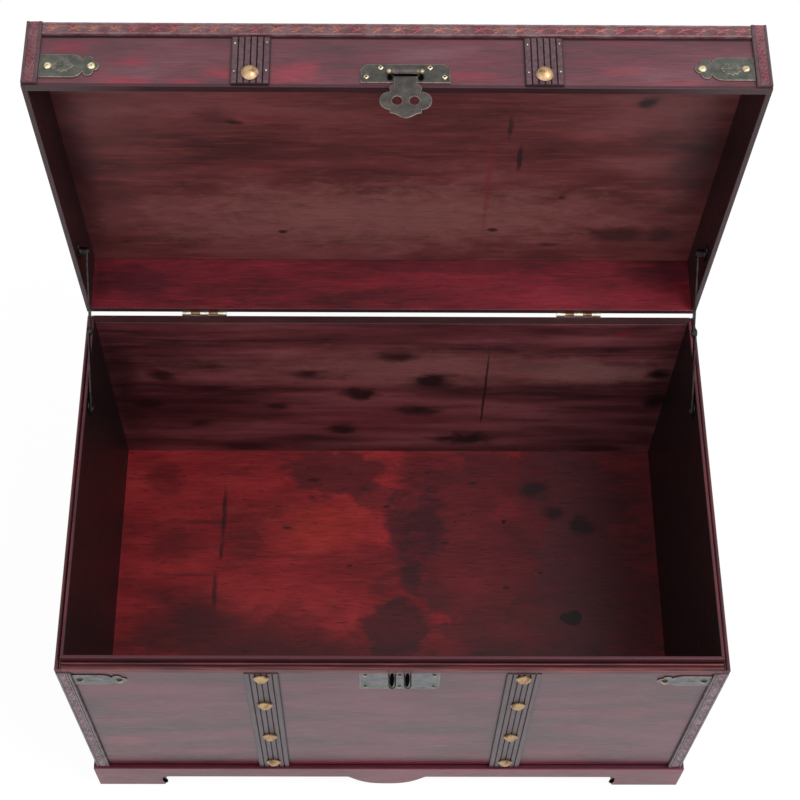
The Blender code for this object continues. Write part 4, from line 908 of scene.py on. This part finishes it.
# A node takes the finish of the first name here that its own name begins with
FINISHES = {
    "lid_top_strip": None, "lid_top": LID_PANEL, "lid_back": LID_BACK, "lid_front": LID_FRONT,
    "lid_side": LID_SIDE, "back_panel": BACK_INSIDE, "left_side": SIDE_BOARD, "right_side": SIDE_BOARD,
    "floor": FLOOR_BOARD, "front_panel": FRONT_BOARD, "plinth_front": PLINTH_FRONT,
    "plinth": PLINTH_BOARD, "rim_front": RIM_FRONT, "rim": RIM_SIDE, "band": BODY_BAND,
    "lid_band": LID_BAND, "hasp_plate": HASP_BRASS, "hasp_flap": FLAP_BRASS, "hasp_pin": PIN_BRASS,
    "staple": WIRE_BRASS, "striker": BODY_PLATE_BRASS, "corner_strap": BODY_PLATE_BRASS,
    "lid_strap": STRAP_BRASS, "hinge_body": HINGE_BRASS, "hinge": HINGE_BROWN, "stay": DARK_STEEL,
}
for node_name, node_object in frame["nodes"].items():
    finish = next((FINISHES[start] for start in FINISHES if node_name.startswith(start)), None)
    if finish is not None:
        for material_slot in node_object.material_slots:
            material_slot.material = finish


def trim_strips():
    """The five embossed strips, each over the box of the node that it stands for."""
    sprays = (35.5, spray_motif(), 0.46, 0.0005, 0.0006)
    vine = (16.0, vine_motif(16.0), 0.66, 0.00045, 0.0006)
    deep_vine = (16.0, vine_motif(16.0), 0.5, 0.0006, 0.0008)
    pressed_strip(
        "top_strip_relief", "lid_top_strip", "lid", shut_box("lid_top_strip"), 0, (0.0020, 0.0016),
        sprays, TOP_STRIP, turn=opened,
    )
    for side, name in SIDES:
        pressed_strip(
            "lid_corner_relief_" + name, "lid_corner_strip_" + name, "lid",
            shut_box("lid_corner_strip_right"), 2, (0.0022, 0.0026), vine, LID_CORNER, side, opened,
        )
        pressed_strip(
            "corner_relief_" + name, "corner_strip_" + name, "chest",
            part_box("corner_strip_right"), 2, (0.0020, 0.0040), deep_vine, BODY_CORNER, side,
        )


def band_nails():
    """Domed nails down the reeded bands, and four brads at the corners of each lid band."""
    tall = LID_BAND_HIGH[2] - LID_BAND_LOW[2]
    for side, name in SIDES:
        heads = [
            (f"dome_nail_{name}_{number}", f"domed_nail_{name}_{number}", BAND_LOW[1], DOME_RISE)
            for number in range(1, 5)
        ]
        heads.append(("lid_dome_nail_" + name, "domed_lid_nail_" + name, LID_BAND_LOW[1], LID_DOME_RISE))
        for node, title, face, rise in heads:
            on_lid = node.startswith("lid")
            low, high = shut_box(node) if on_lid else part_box(node)
            nail_head(
                title, (side * BAND_X, face - DOME_STAND, (low[2] + high[2]) / 2),
                ((high[2] - low[2]) / 2, rise), NAIL_BRASS, "lid" if on_lid else "chest",
                turn=opened if on_lid else None, node=node, shank=DOME_SHANK, tone=rosy_rim,
            )
        for number, (off, drop) in enumerate(BRAD_DROPS, 1):
            nail_head(
                f"lid_brad_{name}_{number}",
                (side * BAND_X + off * BRAD_OFF, LID_BAND_LOW[1], LID_BAND_HIGH[2] - drop * tall),
                BRAD, PALE_NAIL, "lid", turn=opened, sides=12,
            )


def plate_nails():
    """Small domes on the straps and the striker plate, and square nails on the hasp plate."""
    for side, name in SIDES:
        for number, inset in enumerate(STRAP_NAIL_INSETS, 1):
            nail_head(
                f"strap_nail_{name}_{number}", (side * (STRAP_HIGH[0] - inset), STRAP_LOW[1], STRAP_Z),
                STRAP_NAIL, TACK_BRASS, "chest", sides=24, tone=upper_crescent,
            )
        for number, inset in enumerate(LID_STRAP_NAIL_INSETS, 1):
            nail_head(
                f"lid_strap_nail_{name}_{number}",
                (side * (STRAP_HIGH[0] - inset), LID_STRAP_LOW[1], LID_STRAP_Z), LID_STRAP_NAIL,
                TACK_BRASS, "lid", turn=opened, sides=24, pit=0.35, tone=pin_pit,
            )
    for row, z in enumerate(STRIKER_NAIL_ROWS, 1):
        for column in (1, 2, 3):
            nail_head(
                f"striker_nail_{row}_{column}",
                (STRIKER_X + (column - 2) * STRIKER_NAIL_SPACING, STRIKER_LOW[1], z),
                STRIKER_NAIL, PALE_NAIL, "chest", sides=24, tone=upper_crescent,
            )
    for number, (off, rise) in enumerate(HASP_NAIL_PLACES, 1):
        nail_head(
            f"hasp_nail_{number}", (HASP_X + off, HASP_FACE, HASP_NAIL_TOP + rise), HASP_NAIL,
            TACK_BRASS, "lid", turn=opened, square=0.8, pit=0.6, tone=dark_pit, sides=40,
        )


def plain_nails():
    """The nail heads left in the wood: one in the rim at the right, one in the lobe of the plinth."""
    nail_head(
        "rim_nail", RIM_NAIL_PLACE, RIM_NAIL, PALE_NAIL, "chest", sides=12,
        out=(0.0, -0.0001, 1.0),
    )
    nail_head(
        "lobe_nail", LOBE_NAIL_PLACE, LOBE_NAIL, DARK_STEEL, "chest", sides=12,
    )


def foot_eyes():
    """Dark dished eyes, taller than wide, at the inner ends of the two front feet."""
    for side, name in SIDES:
        nail_head(
            "foot_eye_" + name, (side * FOOT_EYE_X, PLINTH_LOW[1], FOOT_EYE_Z), FOOT_EYE, HOLLOW,
            "chest", pit=0.9, tall=2.9,
        )


def screws():
    """Slotted screws in the hinge leaves."""
    for side, name in SIDES:
        low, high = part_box("hinge_body_leaf_" + name)
        shut_low, shut_high = shut_box("hinge_lid_leaf_" + name)
        leaves_of_hinge = (
            ("hinge_screw_", "chest", low[1], low[2] + SCREW_INSET, None),
            ("hinge_lid_screw_", "lid", shut_low[1], shut_high[2] - SCREW_INSET, opened),
        )
        for number, share in enumerate(SCREW_SHARES, 1):
            x = low[0] + share * (high[0] - low[0])
            for title, body, face, z, turn in leaves_of_hinge:
                nail_head(
                    f"{title}{name}_{number}", (x, face + SHEET, z), SCREW, HINGE_BRASS, body,
                    turn=turn, out=BACK, slit=0.7, sides=40,
                )


def leaves():
    """An engraved leaf on each corner strap of the box and the lid."""
    for side, name in SIDES:
        root = side * STRAP_HIGH[0]
        engraved_leaf("strap_leaf_" + name, root, side, STRAP_Z, STRAP_LOW[1], BODY_PLATE_BRASS, "chest")
        engraved_leaf(
            "lid_strap_leaf_" + name, root, side, LID_STRAP_Z, LID_STRAP_LOW[1], STRAP_BRASS, "lid",
            opened,
        )


trim_strips()
band_nails()
plate_nails()
plain_nails()
foot_eyes()
screws()
leaves()


def shown_rays(tree):
    """1 where the camera looks, straight, mirrored or through, and 0 where light is gathered."""
    rays = add(tree, "LightPath").node.outputs
    shown = add(tree, "Math", (rays["Is Camera Ray"], rays["Is Glossy Ray"]), operation="MAXIMUM")
    return add(tree, "Math", (shown, rays["Is Transmission Ray"]), operation="MAXIMUM")


def white_ground():
    """White paper floor: it shows white to the eye and in gloss, and keeps the chest's shadow."""
    mesh = bpy.data.meshes.new("floor")
    half = 4.0
    corners = [(-half, -half, 0.0), (half, -half, 0.0), (half, half, 0.0), (-half, half, 0.0)]
    mesh.from_pydata(corners, [], [(0, 1, 2, 3)])
    floor = bpy.data.objects.new("floor", mesh)
    bpy.context.scene.collection.objects.link(floor)
    made, tree = material("white_paper_floor")
    mesh.materials.append(made)
    shown = add(tree, "Math", (shown_rays(tree), 0.9), operation="MULTIPLY")
    paper = add(tree, "BsdfPrincipled", {"Base Color": (0.93, 0.93, 0.935, 1.0), "Roughness": 0.9})
    glow = add(tree, "Emission", {"Color": (1.0, 1.0, 1.0, 1.0), "Strength": 1.04})
    add(tree, "OutputMaterial", (add(tree, "MixShader", (shown, paper, glow)),))


def soft_light():
    """A pale room, white where it is seen or mirrored, a soft key from the right and a fill."""
    world = bpy.data.worlds.new("studio")
    bpy.context.scene.world = world
    world.use_nodes = True
    tree = world.node_tree
    tree.nodes.clear()
    strength = add(tree, "MapRange", (shown_rays(tree), 0.0, 1.0, 0.5, 1.0))
    room = add(tree, "Background", {"Color": (1.0, 1.0, 1.0, 1.0), "Strength": strength})
    add(tree, "OutputWorld", (room,))
    for name, place, aim, size, power in (
        ("soft_key", (1.1, -0.5, 2.4), (0.0, 0.0, 0.2), 1.3, 30.0),
        ("soft_fill", (-1.2, -1.5, 2.2), (0.0, -0.05, 0.3), 1.8, 14.0),
    ):
        light = bpy.data.lights.new(name, "AREA")
        light.shape = "DISK"
        light.size = size
        light.energy = power
        lamp = bpy.data.objects.new(name, light)
        lamp.location = place
        away = np.array(place) - np.array(aim)
        tilt = math.atan2(math.hypot(*away[:2]), away[2])
        lamp.rotation_euler = (tilt, 0.0, math.atan2(away[0], -away[1]))
        bpy.context.scene.collection.objects.link(lamp)


def photo_camera():
    """The photograph's camera: a long lens 2 m off, looking 61 degrees down into the open chest."""
    camera = bpy.data.cameras.new("camera")
    camera.lens = 78.2
    camera.sensor_width = 36.0
    camera.shift_x = 0.01878
    camera.shift_y = 0.00958
    seen_from = bpy.data.objects.new("camera", camera)
    seen_from.location = (-0.02268, -0.810385, 1.94618)
    seen_from.rotation_euler = (0.503032, -0.009128, -0.001158)
    bpy.context.scene.collection.objects.link(seen_from)
    bpy.context.scene.camera = seen_from
    bpy.context.scene.view_settings.view_transform = "Standard"


white_ground()
soft_light()
photo_camera()
